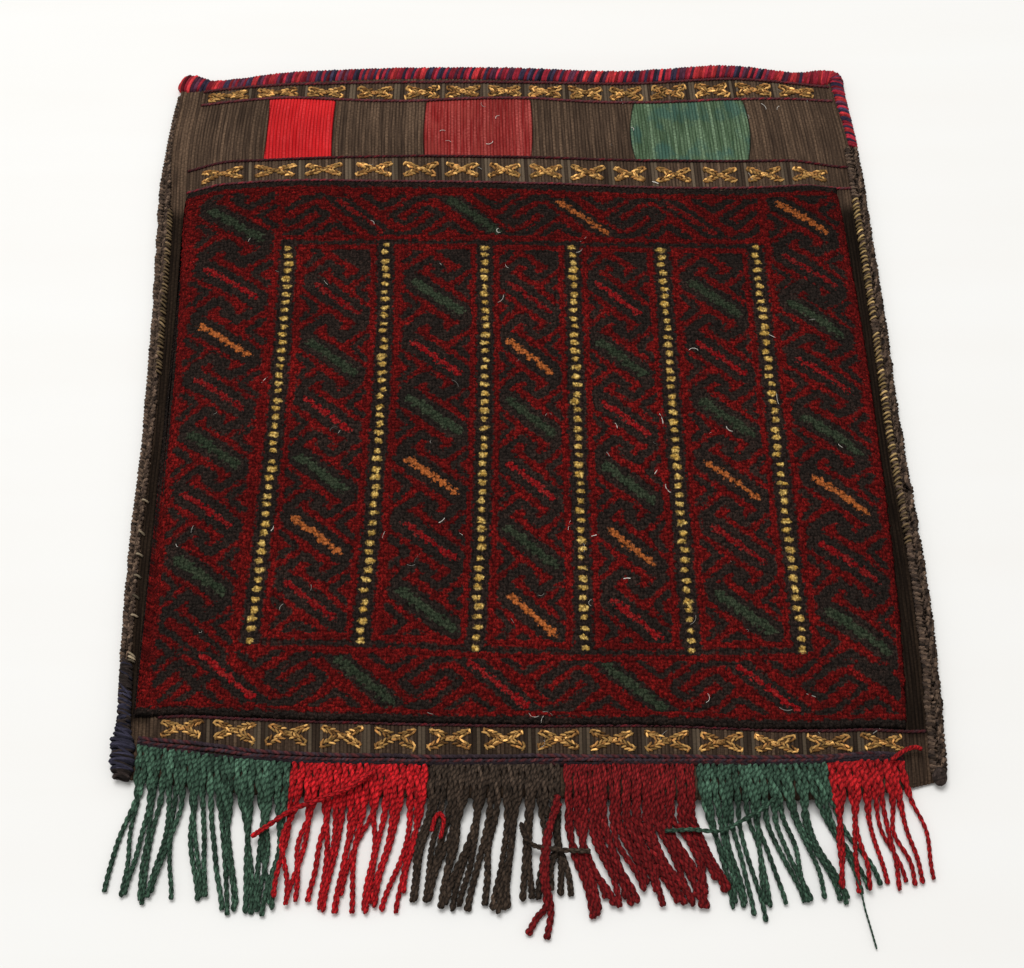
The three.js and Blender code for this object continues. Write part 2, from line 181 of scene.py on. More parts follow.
BLOCK_SHADES = [[srgb(*shade) for shade in block] for block in (  # deep, pale and patches
    [(196, 30, 34), (232, 68, 70), (200, 36, 38)], [(126, 32, 31), (188, 90, 83), (150, 58, 52)],
    [(64, 84, 60), (134, 158, 126), (56, 92, 86)])]
DIVIDER_DARK, DIVIDER_GREY = srgb(44, 36, 30), srgb(104, 92, 76)


def flowing(at, stops, values):
    """Smooth line through a few stops: a cubic between two, each stop's slope being that of its neighbours.
    The values are one row for all places, or a row for each."""
    stops, values = np.asarray(stops, float), np.asarray(values, float)
    slopes = np.gradient(values, stops, axis=-1)
    k = np.clip(np.searchsorted(stops, at) - 1, 0, len(stops) - 2)
    gap = stops[k + 1] - stops[k]
    t = np.clip((at - stops[k]) / gap, 0, 1)
    if values.ndim == 1:
        start, end, start_slope, end_slope = values[k], values[k + 1], slopes[k], slopes[k + 1]
    else:
        start, end, start_slope, end_slope = (np.take_along_axis(row, (k + on)[..., None], -1)[..., 0]
                                              for row in (values, slopes) for on in (0, 1))
    return (start * (1 + 2 * t) * (1 - t) ** 2 + start_slope * gap * t * (1 - t) ** 2
            + end * t ** 2 * (3 - 2 * t) - end_slope * gap * t ** 2 * (1 - t))


def eased(value):
    """0 below 0, 1 above 1, and a smooth step between."""
    t = np.clip(value, 0, 1)
    return t * t * (3 - 2 * t)


def pulled(s, y):
    """Where a straight line across the flat bag lies, at a share s of the width from -1 at the left side to 1
    at the right: the wool has drawn it up or down by an amount that flows along y at each stop, and then
    between the stops."""
    s, y = np.broadcast_arrays(np.asarray(s, float), np.asarray(y, float))
    return y + flowing(s, PULL_S, np.stack([flowing(y, PULL_Y, row) for row in PULL.T], -1))


def sides(y):
    """Left and right edge of the cloth at y, both slightly bowed."""
    return flowing(y, EDGE_Y, LEFT_X), flowing(y, EDGE_Y, RIGHT_X)


def on_bag(s, y):
    """Plan position of a share s of the width on the line that lies at y in the middle."""
    y = pulled(s, y)
    left, right = sides(y)
    return left + (right - left) * (s + 1) / 2, y


def share(x, y):
    """The share of the width at a plan position."""
    left, right = sides(y)
    return (2 * x - left - right) / (right - left)


def rise(s, y):
    """How far the front has risen from the side seam to its full height, 0 to 1, by the distance from the
    side. Near the mouth it rises more gently."""
    left, right = sides(y)
    slope = SEAM_SLOPE * (1 + MOUTH_GENTLER * eased((y - MOUTH_FROM) / MOUTH_REACH))
    return eased(((1 - np.abs(s)) * (right - left) / 2 - SEAM_MARGIN) / slope)


def front_height(s, y):
    """Height of the front: two cloths at the seam, and the pocket's gap more inside, with a slight swell."""
    across = np.sin(SWELL_ACROSS[0] * s + SWELL_ACROSS[1])
    along = np.sin(SWELL_ALONG[0] * y + SWELL_ALONG[1])
    return 2 * CLOTH_THICK + rise(s, y) * (POCKET_GAP + SWELL * across * along)


def lip_lift(y):
    """How far a lip is lifted to the middle of its binding."""
    return LIP_LIFT * np.clip((y - LIP_Y + 1.5 * LIP_RAMP) / LIP_RAMP, 0, 1)


def length_along(paths):
    """Length along a path from its start to each of its points: the sum of the straight steps up to there."""
    steps = np.linalg.norm(np.diff(paths, axis=-2), axis=-1)
    return np.concatenate([0 * steps[..., :1], np.cumsum(steps, -1)], -1)


def quads(index):
    """The four corners of every cell of a grid of vertex numbers."""
    return np.stack([index[:-1, :-1], index[1:, :-1], index[1:, 1:], index[:-1, 1:]], -1).reshape(-1, 4)


def hidden(faces):
    """Those faces with one place on the bake map for all their corners, as they are out of sight."""
    return faces, np.full((*faces.shape, 2), HIDDEN_MAP)


def piece(name, points, faces, material, slot, stands_for=(), **stored):
    """Makes a smooth mesh object from its vertices, from pairs of equal-sided faces and their places on the
    bake map, and from values stored at the vertices. It rides on the one body."""
    mesh = bpy.data.meshes.new(name)
    mesh.vertices.add(len(points))
    mesh.vertices.foreach_set("co", np.ascontiguousarray(points, np.float32).ravel())
    sizes = np.concatenate([np.full(len(f), f.shape[1]) for f, _ in faces])
    corners = np.concatenate([f.ravel() for f, _ in faces])
    mesh.loops.add(len(corners))
    mesh.loops.foreach_set("vertex_index", corners.astype(np.int32))
    mesh.polygons.add(len(sizes))
    mesh.polygons.foreach_set("loop_start", np.concatenate([[0], np.cumsum(sizes)[:-1]]).astype(np.int32))
    mesh.polygons.foreach_set("use_smooth", np.ones(len(sizes), bool))
    bake = mesh.uv_layers.new(name="OFBake")
    places = np.concatenate([m.reshape(-1, 2) for _, m in faces])
    bake.uv.foreach_set("vector", places.astype(np.float32).ravel())
    for key, values in stored.items():
        kind, field = {1: ("FLOAT", "value"), 3: ("FLOAT_VECTOR", "vector"), 4: ("FLOAT_COLOR", "color")}[
            1 if values.ndim == 1 else values.shape[1]]
        mesh.attributes.new(key, kind, "POINT").data.foreach_set(field, values.astype(np.float32).ravel())
    mesh.update(calc_edges=True)
    mesh.materials.append(material)
    made = placed(name, mesh)
    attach(made, "root")
    if stands_for:
        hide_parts(*stands_for)
    return made


fold_turn = np.radians(np.linspace(FOLD_TURN, -FOLD_TURN, FOLD_STEPS))
fold_from = FOLD_Y + FOLD_RADIUS
front_rows = np.concatenate([np.linspace(LIP_Y, *TOP_ROWS), np.linspace(*BED_ROWS),
                             np.linspace(FOOT_ROWS[0], fold_from, FOOT_ROWS[1])])
back_rows = np.linspace(fold_from, LIP_Y, BACK_ROWS)
row_y = np.concatenate([front_rows, np.full(FOLD_STEPS, fold_from), back_rows])
row_out = np.concatenate([0 * front_rows, np.cos(fold_turn), 0 * back_rows])
row_level = np.concatenate([1 + 0 * front_rows, np.sin(fold_turn), -1 + 0 * back_rows])
cloth_s = np.linspace(-1, 1, RIBS * RIB_STOPS + 1)
cloth_x = cloth_s * RIBS * RIB_PITCH / 2
rib = np.abs(np.sin(np.pi * cloth_x / RIB_PITCH)) ** RIB_FULL


def cloth_wall(s, depth):
    """One wall of the folded cloth. Level 1 is the front, -1 the back and between them lies the fold's half
    round: the wall stands off the middle height by level times what depth leaves of it."""
    s, y = np.meshgrid(s, row_y)
    x, y_there = on_bag(s, y - row_out[:, None] * (FOLD_RADIUS - depth))
    middle = front_height(s, y_there) / 2
    z = middle + row_level[:, None] * (middle - depth) + lip_lift(y)
    return np.stack([x, y_there, z], -1)


outer = cloth_wall(cloth_s, RIB_DEPTH * (1 - rib))
inner = cloth_wall(cloth_s[::INNER_EVERY], CLOTH_THICK - INNER_SLACK)
rows, columns, inner_columns = *outer.shape[:2], inner.shape[1]
outer_index = np.arange(rows * columns).reshape(rows, columns)
inner_index = rows * columns + np.arange(rows * inner_columns).reshape(rows, inner_columns)
runs = np.arange(inner_columns - 1)[:, None] * INNER_EVERY + np.arange(INNER_EVERY + 1)
row_length = length_along(outer[:, columns // 2])


def wall_map(count, span):
    """A wall's places on the bake map: its width over the whole map, its length over a span of it."""
    down = span[0] + (span[1] - span[0]) * row_length / row_length[-1]
    return np.stack(np.meshgrid(np.linspace(MAP_RIM, 1 - MAP_RIM, count), down), -1).reshape(-1, 2)


outer_quads, inner_quads = quads(outer_index), quads(inner_index)[:, ::-1]
front_rim = np.concatenate([outer_index[0][runs], inner_index[0, 1:, None], inner_index[0, :-1, None]], 1)
back_rim = np.concatenate([inner_index[-1, :-1, None], inner_index[-1, 1:, None],
                           outer_index[-1][runs][:, ::-1]], 1)
left_rim = np.stack([outer_index[:-1, 0], inner_index[:-1, 0],
                     inner_index[1:, 0], outer_index[1:, 0]], -1)
right_rim = np.stack([outer_index[:-1, -1], outer_index[1:, -1],
                      inner_index[1:, -1], inner_index[:-1, -1]], -1)
cloth_faces = [(outer_quads, wall_map(columns, OUTER_MAP)[outer_quads]),
               (inner_quads, wall_map(inner_columns, INNER_MAP)[inner_quads - rows * columns])]
cloth_faces += [hidden(rim) for rim in (front_rim, back_rim, left_rim, right_rim)]

flat_x, flat_y = np.meshgrid(cloth_x, row_y)
is_front = (row_level > 0.5)[:, None]
band = np.clip((flat_y - STRIP_B[1]) / (STRIP_A[0] - STRIP_B[1]), 0, 1)
bulge = (1 - (2 * band - 1) ** 2)[..., None]
blocks = BLOCKS[:, 1] + BLOCKS[:, 2] * bulge - np.abs(outer[..., :1] - BLOCKS[:, 0])
in_band = np.minimum(flat_y - STRIP_B[1], STRIP_A[0] - flat_y)[..., None]
blocks = np.where(is_front[..., None], np.minimum(blocks, in_band), OUTSIDE)


def divider(low_high, crosses):
    """How far inside a divider of a brocaded strip a place is: dividers stand midway between two crosses."""
    middles = (crosses[1:] + crosses[:-1]) / 2
    across = DIVIDER_HALF - np.abs(outer[..., :1] - middles).min(-1)
    along = np.minimum(flat_y - low_high[0], low_high[1] - flat_y)
    return np.where(is_front, np.minimum(across, along), OUTSIDE)


dividers = np.maximum.reduce([divider(STRIP_A, UPPER_CROSSES), divider(STRIP_B, MIDDLE_CROSSES),
                              divider(STRIP_C, LOWER_CROSSES)])
# Painted shade on the front: dark in the strips between the pile's sides and the plaits, and less dark below
# the pile's foot.
side_shade = (eased((np.abs(cloth_s) - SELVAGE_S) / SELVAGE_BLUR)
              * eased((SELVAGE_HIGH - flat_y) / SELVAGE_FADE) * eased((flat_y - SELVAGE_LOW) / SELVAGE_FADE))
foot_shade = FOOT_SHADE * eased((FOOT_SHADE_Y - flat_y) / FOOT_SHADE_FADE)
side_shade = np.maximum(side_shade, foot_shade) * is_front


def both_walls(values, inside=0.0):
    """Values for both walls, plain on the inner one."""
    outside = np.broadcast_to(values, (rows, columns)).ravel()
    return np.concatenate([outside, np.full(rows * inner_columns, inside)])


def reckon(tree, operation, first, second=0.0):
    """The result of one sum on two values."""
    return node(tree, "ShaderNodeMath", {0: first, 1: second}, operation=operation).outputs[0]


def times(tree, first, second):
    """Two values multiplied."""
    return reckon(tree, "MULTIPLY", first, second)


def shaded(tree, colour, light):
    """A colour made darker or lighter by a value."""
    grey = node(tree, "ShaderNodeCombineColor", {0: light, 1: light, 2: light}).outputs[0]
    return blend(tree, 1.0, colour, grey, "MULTIPLY")


def step(tree, value, low, high, start=0.0, end=1.0):
    """A value that goes smoothly from start to end as the given one goes from low to high."""
    feeds = {"Value": value, "From Min": low, "From Max": high, "To Min": start, "To Max": end}
    return node(tree, "ShaderNodeMapRange", feeds, interpolation_type="SMOOTHSTEP").outputs[0]


def attribute(tree, name, output="Fac"):
    """What a mesh stores under that name."""
    return node(tree, "ShaderNodeAttribute", attribute_name=name).outputs[output]


def axes(tree, vector):
    """The three parts of a vector."""
    return node(tree, "ShaderNodeSeparateXYZ", {0: vector}).outputs


def relief(tree, shader, height, depth):
    """Bends the shader's normal as if the surface rose by depth where height is 1."""
    bump = node(tree, "ShaderNodeBump", {"Height": height, "Distance": depth, "Strength": 1.0})
    tree.links.new(bump.outputs[0], shader.inputs["Normal"])


cloth_coat, tree, shader = coat("cloth_wool", 1.0)
flat = attribute(tree, "flat", "Vector")
flat_across, flat_along, _ = axes(tree, flat)
rib_number = reckon(tree, "FLOOR", reckon(tree, "DIVIDE", flat_across, RIB_PITCH))
rib_luck = node(tree, "ShaderNodeTexWhiteNoise", {"W": rib_number}, noise_dimensions="1D").outputs["Value"]
beat = reckon(tree, "ADD", times(tree, flat_along, math.pi / WEFT_PITCH), times(tree, rib_number, math.pi))
dashes = step(tree, reckon(tree, "SINE", beat), -0.6, 0.7)
streak = noise(tree, flat, 1.0, 3.0, (640.0, 34.0, 1.0))
fleck = noise(tree, flat, 1.0, 2.0, (560.0, 620.0, 1.0))
worn = noise(tree, flat, 14.0, 3.0)
patchy = noise(tree, flat, 1.0, 3.0, (70.0, 40.0, 1.0))
light = step(tree, rib_luck, 0.4, 1.0, 0.0, 0.5)
light = reckon(tree, "ADD", light, step(tree, streak, 0.35, 0.7, 0.0, 0.55))
light = times(tree, light, step(tree, fleck, 0.25, 0.75, 0.4, 1.2))
light = times(tree, light, step(tree, dashes, 0.0, 1.0, 0.75, 1.0))
colour = blend(tree, light, BROWN_DARK, BROWN_TAN)
divided = blend(tree, step(tree, rib_luck, 0.35, 0.65), DIVIDER_DARK, DIVIDER_GREY)
colour = blend(tree, step(tree, attribute(tree, "divider"), -0.3 * MM, 0.3 * MM, 0.0, 0.6), colour, divided)
for edge, (deep, pale, patch) in zip(axes(tree, attribute(tree, "blocks", "Vector")), BLOCK_SHADES):
    inside = reckon(tree, "ADD", edge, times(tree, fleck, 0.8 * MM))
    dyed = blend(tree, step(tree, patchy, 0.48, 0.66, 0.0, 0.6), blend(tree, light, deep, pale), patch)
    slit = step(tree, reckon(tree, "ABSOLUTE", inside), 0.2 * MM, 1.1 * MM, 0.3, 1.0)
    colour = shaded(tree, blend(tree, step(tree, inside, -0.2 * MM, 0.2 * MM), colour, dyed), slit)
# Painted shade: the grooves between the ribs are darkened to half, and the stored side_shade darkens the
# cloth beside and below the pile. The worn clouds are the wool's own wear.
rib_groove_shade = step(tree, attribute(tree, "rib"), 0.0, 0.8, 0.5, 1.0)
wear_and_painted_shade = times(tree, rib_groove_shade, step(tree, worn, 0.3, 0.7, 0.8, 1.12))
wear_and_painted_shade = times(tree, wear_and_painted_shade, step(tree, attribute(tree, "side_shade"), 0.0, 1.0, 1.0, 0.2))
tree.links.new(shaded(tree, colour, wear_and_painted_shade), shader.inputs["Base Color"])
relief(tree, shader, reckon(tree, "ADD", fleck, times(tree, dashes, 0.6)), 0.5 * MM)

flat_outer = np.stack([flat_x, np.broadcast_to(row_length[:, None], flat_x.shape), 0 * flat_x], -1)
flat_inner = inner * (1, 1, 0) + (0, 0, INNER_OFF)
cloth_points = np.concatenate([outer.reshape(-1, 3), inner.reshape(-1, 3)])
cloth_flat = np.concatenate([flat_outer.reshape(-1, 3), flat_inner.reshape(-1, 3)])
cloth_blocks = np.concatenate([blocks.reshape(-1, 3), np.full((rows * inner_columns, 3), OUTSIDE)])
cloth = piece("woven_cloth", cloth_points, cloth_faces, cloth_coat, "cloth_wool", ["bag_cloth"],
              flat=cloth_flat, rib=both_walls(rib, 1.0), divider=both_walls(dividers, OUTSIDE),
              side_shade=both_walls(side_shade), blocks=cloth_blocks)


# Pile. Wool knots tied on the front in about two hundred rows, crimson with a near black figure: lanes of
# slanted bars in black frames with a black scroll between two frames, columns of gold dots between the lanes,
# and a border of wider bars and scrolls. The figure is drawn in millimetres.
PILE_TOP, PILE_BOTTOM, PILE_HEIGHT = 197.5 * MM, -283.5 * MM, 4.6 * MM
PILE_Y = np.array([-280, -262, -229, -158, -38, 37, 116, 179, 197]) * MM
PILE_LEFT = np.array([-258.5, -256.5, -253, -254.5, -258, -260.5, -265.5, -268, -267]) * MM
PILE_RIGHT = np.array([267.5, 269.5, 271.5, 274, 275, 274.5, 272, 269.5, 268]) * MM
PILE_WIDTH, PILE_MAP = 0.97, 0.994  # shares of the cloth's width and of the bake map
PILE_COLUMNS, PILE_ROWS = 300, 326
KNOTS_ACROSS, KNOTS_ALONG = 193, 198
PILE_ROUND, PILE_RIM = 4.5 * MM, 0.6 * MM
PILE_LUMPS, PILE_RAGGED = 0.24 * MM, 0.45 * MM
RED_PROUD, DOT_PROUD, BAR_PROUD = 0.4 * MM, 0.6 * MM, 0.5 * MM
NOWHERE, GROUND = -20.0, -3.0  # how far inside the figure a place counts: far off, and just outside
EDGE_DARK_TOP, EDGE_DARK_FOOT, EDGE_DARK = 8.0, 6.0, -3.0
EDGE_REACH, SIDE_RED = 4.2, 4.5
COLUMN_TOPS = np.array([-179, -101, -22, 48, 119, 193.8])
COLUMN_FEET = np.array([-181.5, -105, -25, 50, 124, 200.2])
COLUMN_BOW = np.array([3.6, 4.0, 2.8, 0, -0.8, -0.4])  # to the right, halfway down
COLUMN_FROM, COLUMN_RUN = 128, 356
DOT_FIRST = np.array([126.5, 129.5, 126.5, 126.5, 123.5, 127])
DOT_LAST = np.array([-223, -223.5, -228.5, -229, -230.5, -229.5])
DOTS, DOT_WIDE = 46, 2.75
DOT_TALL, DOT_SHIFT, DOT_SIZES = 2.2, 0.5, (0.8, 1.14)
STRIPE_HALF, LANE_LINE = 6.9, 4.0
SEAM_X = np.array([-182, -100, 0, 100, 200])
TOP_SEAM = np.array([132.5, 132.5, 131.5, 128.5, 127])
BOTTOM_SEAM = np.array([-224.5, -226, -230.5, -232, -230.5])
SEAM_HALF, SEAM_RED, SEAM_PAST = 2.1, 6.6, 4
FRAME = np.array([(-21.9, 28.1), (-11.9, 22.8), (22.7, -9.1), (24.1, -14.9),
                  (21.9, -28.1), (11.9, -22.8), (-22.7, 9.1), (-24.1, 14.9)])
WEDGE = np.array([(-23.5, 2), (-13.8, -9.3), (-23, -20)])
SCROLL = np.array([(20.4, 4.1), (13.1, -3.6), (6.2, -9.4), (-2.1, -1.8),
                   (2.1, 1.8), (-6.2, 9.4), (-13.1, 3.6), (-20.4, -4.1)])
WEDGE_HALF, SCROLL_HALF, LANE_HALF = 2.6, 3.2, 24
LANE_PITCH, LANE_REACH = 55.0, 1.15
BORDER_FRAME = np.array([(-32, 20), (-11.5, 20.3), (32, -20), (11.5, -20.3)])
BORDER_HOOK = np.array([(3, 20.5), (18.3, 8.7), (34.5, 20.5)])
BORDER_SCROLL = np.array([(14, 20), (0, 16.8), (-20, -0.5), (-9.4, -8.4),
                          (9.4, 8.4), (20, 0.5), (0, -16.8), (-14, -20)])
BORDER_HALF, TOP_BROADER, TOP_TALL = 2.4, 0.6, 1.03
FOOT_TALL, BORDER_PITCH = 0.97, 92.0
BORDER_PAST, FOOT_NEAR = 6, 20
FOOT_PAST_LEFT, FOOT_PAST_RIGHT = 60, 75
LANE_BAR, BORDER_BAR = np.array([(-15, 14.2), (15, -14.2)]), np.array([(-18.5, 16), (18.5, -16)])
BAR_NEAR_X, BAR_NEAR_Y = 75, 50
BEAD_PITCH, BEAD_SWELL = 7.0, 0.5
BAR_HALF = {"R": 2.0, "r": 1.8, "Y": 2.1, "G": 3.3, "o": 4.0}  # o: no bar, but the ground shows in the frame
BAR_FADING = {"R": 0.62, "r": 0.7, "Y": 0.88, "G": 0.8}
BAR_FRESH = 1.05
LANES = [  # x at the first and at the last bar, the half widths there, y and dye of each bar from the top
    (-222.5, -221, 32, 26, [151, 92, 36, -14.5, -65, -117, -171.5, -222], "GRYRGRGo"),
    (-137, -141, 27, 27, [75.2, 18.6, -34, -86.6, -139.2, -192.6], "RGRGYR"),
    (-58, -59.5, 28, 28, [77, 18.2, -34.4, -88.6, -143.6, -199.4], "GRGYRG"),
    (13.8, 13.6, 24.5, 24.5, [75.8, 18.8, -36.6, -92.8, -148.2, -202.8], "RYGRGY"),
    (83, 86.3, 25, 25, [74.4, 17.6, -37.6, -94.4, -148.8, -205.6], "RGRGYR"),
    (158.7, 162.7, 26.7, 26.7, [74.8, 17.6, -37.2, -92, -146, -200.8], "GRGYRG"),
    (235, 240, 28.5, 28.5, [158.3, 103.6, 55.9, 2.6, -51.5, -104, -159.7, -214.6], "YRGRGYRG")]
TOP_BARS = [(-123.5, 160.4, "r"), (-31.5, 160.4, "G"), (56.5, 158.4, "Y"), (144.5, 156.4, "r")]
BOTTOM_BARS = [(-194, -251, "R"), (-100.5, -253.6, "G"), (-9.5, -256, "R"), (83.5, -258.6, "G"),
               (173.5, -258.6, "R"), (265.5, -258.6, "")]
CRIMSON, CRIMSON_LIGHT = srgb(69, 12, 11), srgb(120, 21, 19)
PILE_BLACK, PILE_GREY = srgb(32, 27, 24), srgb(51, 38, 33)
BAR_DYES = {"R": srgb(128, 13, 18), "r": srgb(116, 15, 16), "G": srgb(44, 54, 39), "Y": srgb(166, 90, 42)}
BAR_BLOOM, DOT_GOLD, DOT_PALE = srgb(120, 110, 92), srgb(178, 138, 62), srgb(214, 180, 104)


def from_line(u, v, line):
    """Distance to a line of straight stretches: the least, over the stretches, of the distance to one's
    nearest point."""
    start, way = line[:-1], np.diff(line, axis=0)
    du, dv = u[..., None] - start[:, 0], v[..., None] - start[:, 1]
    t = np.clip((du * way[:, 0] + dv * way[:, 1]) / (way ** 2).sum(1), 0, 1)
    return np.hypot(du - t * way[:, 0], dv - t * way[:, 1]).min(-1)


def within(u, v, corners):
    """How far inside a clockwise outline without hollows a place is: the least distance to one of its
    sides."""
    way = np.roll(corners, -1, 0) - corners
    du, dv = u[..., None] - corners[:, 0], v[..., None] - corners[:, 1]
    return ((du * -way[:, 1] + dv * way[:, 0]) / -np.hypot(way[:, 0], way[:, 1])).min(-1)


draw = np.random.default_rng(5)
p, q = np.meshgrid(np.linspace(0, 1, PILE_COLUMNS), np.linspace(0, 1, PILE_ROWS))
pile_y = pulled((2 * p - 1) * PILE_WIDTH, PILE_TOP + (PILE_BOTTOM - PILE_TOP) * q)
pile_left, pile_right = flowing(pile_y, PILE_Y, PILE_LEFT), flowing(pile_y, PILE_Y, PILE_RIGHT)
pile_x = pile_left + (pile_right - pile_left) * p
x_mm, y_mm = pile_x / MM, pile_y / MM
from_top, from_foot = y_mm - flowing(x_mm, SEAM_X, TOP_SEAM), flowing(x_mm, SEAM_X, BOTTOM_SEAM) - y_mm
from_seam = np.maximum(from_top, from_foot)
column_down = np.clip((COLUMN_FROM - y_mm[..., None]) / COLUMN_RUN, 0, 1)
column_x = COLUMN_TOPS + (COLUMN_FEET - COLUMN_TOPS + 4 * COLUMN_BOW * (1 - column_down)) * column_down
from_column = x_mm[..., None] - column_x
beside = np.abs(from_column).min(-1)
past_columns = np.maximum(column_x[..., 0] - x_mm, x_mm - column_x[..., -1])

black = np.full(p.shape, NOWHERE)
bars = np.full(p.shape, NOWHERE)
bar_dye = np.tile([*BAR_DYES["R"], 1.0], (*p.shape, 1))


def knotted(middle_x, middle_y, wide, tall, dye, where, outline, bar_line, lines, shape_of):
    """Adds one bar with its black frame, and the black lines round it, to the places where it belongs. Each
    line comes twice, the second time after half a turn about the middle of the bar."""
    near = (where & (np.abs(x_mm - middle_x) < BAR_NEAR_X * wide)
            & (np.abs(y_mm - middle_y) < BAR_NEAR_Y * tall))
    u, v = (x_mm[near] - middle_x) / wide, (y_mm[near] - middle_y) / tall
    shapes = [within(u, v, outline)]
    for line in lines:
        shapes += [shape_of(u, v, line), shape_of(-u, -v, line)]
    black[near] = np.maximum(black[near], np.maximum.reduce(shapes))
    if dye == "o":
        black[near] = np.minimum(black[near], from_line(u, v, bar_line) - BAR_HALF[dye])
    elif dye:
        beads = BEAD_SWELL * np.cos(2 * np.pi * (u - v) / BEAD_PITCH)
        bar = BAR_HALF[dye] + beads - from_line(u, v, bar_line)
        dyes = bar_dye[near]
        dyes[bar > bars[near]] = (*(BAR_DYES[dye] * draw.uniform(BAR_FADING[dye], BAR_FRESH)), 1.0)
        bars[near], bar_dye[near] = np.maximum(bars[near], bar), dyes


def lane_shape(u, v, shape):
    """A wedge beside a frame, or the scroll below it."""
    return (WEDGE_HALF - from_line(u, v, shape) if len(shape) == len(WEDGE)
            else SCROLL_HALF - from_line(u, v + LANE_PITCH / 2, shape))


def border_shape(u, v, shape):
    """A hook over a frame, or the scroll beside it, half a pitch on."""
    return BORDER_HALF - from_line(u - (BORDER_PITCH / 2 if len(shape) > len(BORDER_HOOK) else 0.0), v, shape)


def top_border_shape(u, v, shape):
    """The same in the top border, where the lines are broader."""
    return border_shape(u, v, shape) + TOP_BROADER


for lane, (first_x, last_x, first_half, last_half, bar_y, dyes) in enumerate(LANES):
    pitch = (bar_y[0] - bar_y[-1]) / (len(bar_y) - 1)
    bar_x, halves = np.linspace((first_x, first_half), (last_x, last_half), len(bar_y)).T
    inside = np.abs(x_mm - (first_x + last_x) / 2) < first_half * LANE_REACH
    if 0 < lane < len(LANES) - 1:
        inside &= from_seam < -SEAM_RED - 1
        bar_x, halves = [first_x, *bar_x, last_x], [first_half, *halves, last_half]
        bar_y, dyes = [bar_y[0] + pitch, *bar_y, bar_y[-1] - pitch], ["", *dyes, ""]
    for x, y, half, dye in zip(bar_x, bar_y, halves, dyes):
        knotted(x, y, half / LANE_HALF, pitch / LANE_PITCH, dye, inside, FRAME, LANE_BAR, [WEDGE, SCROLL],
                lane_shape)
in_border = (from_seam > SEAM_RED - 1) & (past_columns < BORDER_PAST)
near_foot = (from_foot > -FOOT_NEAR) & (past_columns < np.where(x_mm > 0, FOOT_PAST_RIGHT, FOOT_PAST_LEFT))
for border, tall, shape_of in ((TOP_BARS, TOP_TALL, top_border_shape),
                               (BOTTOM_BARS, FOOT_TALL, border_shape)):
    for x, y, dye in border:
        knotted(x, y, 1.0, tall, dye, in_border | near_foot, BORDER_FRAME, BORDER_BAR,
                [BORDER_HOOK, BORDER_SCROLL], shape_of)

seam_line = np.where(past_columns < SEAM_PAST, SEAM_HALF - np.abs(from_seam), NOWHERE)
beside_seam = np.where(past_columns < LANE_LINE + STRIPE_HALF, SEAM_RED - np.abs(from_seam), NOWHERE)
stripe = np.where(from_seam < SEAM_HALF, STRIPE_HALF - beside, NOWHERE)
lane_line = np.where(from_seam < 0, STRIPE_HALF + LANE_LINE - beside, NOWHERE)
black = np.where((lane_line > 0) | (beside_seam > 0), GROUND, black)
black = np.maximum.reduce([black, stripe, seam_line])
bars = np.where((lane_line > 0) | (beside_seam > 0), NOWHERE, bars)
from_side = np.minimum(p, 1 - p) * (pile_right - pile_left) / MM
from_end, from_far_end = (along * (PILE_TOP - PILE_BOTTOM) / MM for along in (q, 1 - q))
edge_dark = np.maximum.reduce([EDGE_DARK_TOP - from_end, EDGE_DARK_FOOT - from_far_end,
                               EDGE_DARK - from_side])
black = np.where(edge_dark > -EDGE_REACH, edge_dark, np.where(from_side < SIDE_RED, GROUND, black))
bars = np.where(edge_dark > -EDGE_REACH, NOWHERE, bars)

nearest = np.abs(from_column).argmin(-1)
dot_pitch = ((DOT_FIRST - DOT_LAST) / (DOTS - 1))[nearest]
dot_number = np.clip(np.round((DOT_FIRST[nearest] - y_mm) / dot_pitch), 0, DOTS - 1).astype(int)
dot_shift = draw.normal(0, DOT_SHIFT, (len(COLUMN_TOPS), DOTS, 2))[nearest, dot_number]
dot_size = draw.uniform(*DOT_SIZES, (len(COLUMN_TOPS), DOTS, 2))[nearest, dot_number] * (DOT_WIDE, DOT_TALL)
dot_x = np.take_along_axis(from_column, nearest[..., None], -1)[..., 0]
dot_y = y_mm - (DOT_FIRST[nearest] - dot_pitch * dot_number)
from_dot = ((np.abs(np.stack([dot_x, dot_y], -1) - dot_shift) / dot_size) ** 3).sum(-1) ** (1 / 3)
dots = (1 - from_dot) * DOT_TALL

from_edge = np.minimum.reduce([from_side, from_end, from_far_end]) * MM
round_off = np.sqrt(1 - (1 - np.clip(from_edge / PILE_ROUND, 0, 1)) ** 2)
lumps = draw.normal(0, PILE_LUMPS, p.shape)
raised = (RED_PROUD * eased(0.5 - black / 2) + DOT_PROUD * eased(0.5 + dots / 2)
          + BAR_PROUD * eased(0.5 + bars / 2))
pile_z = (front_height(share(pile_x, pile_y), pile_y) + PILE_RIM
          + (PILE_HEIGHT - PILE_RIM + raised + lumps) * round_off)
ragged = draw.normal(0, PILE_RAGGED, (2, *p.shape))
pile_points = np.stack([pile_x + ragged[0], pile_y + ragged[1], pile_z], -1)
pile_index = np.arange(p.size).reshape(p.shape)
pile_top = quads(pile_index)
pile_under = np.stack([pile_index[0, :-1], pile_index[0, 1:], pile_index[-1, 1:], pile_index[-1, :-1]], -1)
pile_left_end, pile_right_end = pile_index[::-1, 0][None], pile_index[:, -1][None]
pile_map = MAP_RIM + PILE_MAP * np.stack([p, 1 - q], -1).reshape(-1, 2)
pile_faces = [(pile_top, pile_map[pile_top])]
pile_faces += [hidden(side) for side in (pile_under, pile_left_end, pile_right_end)]

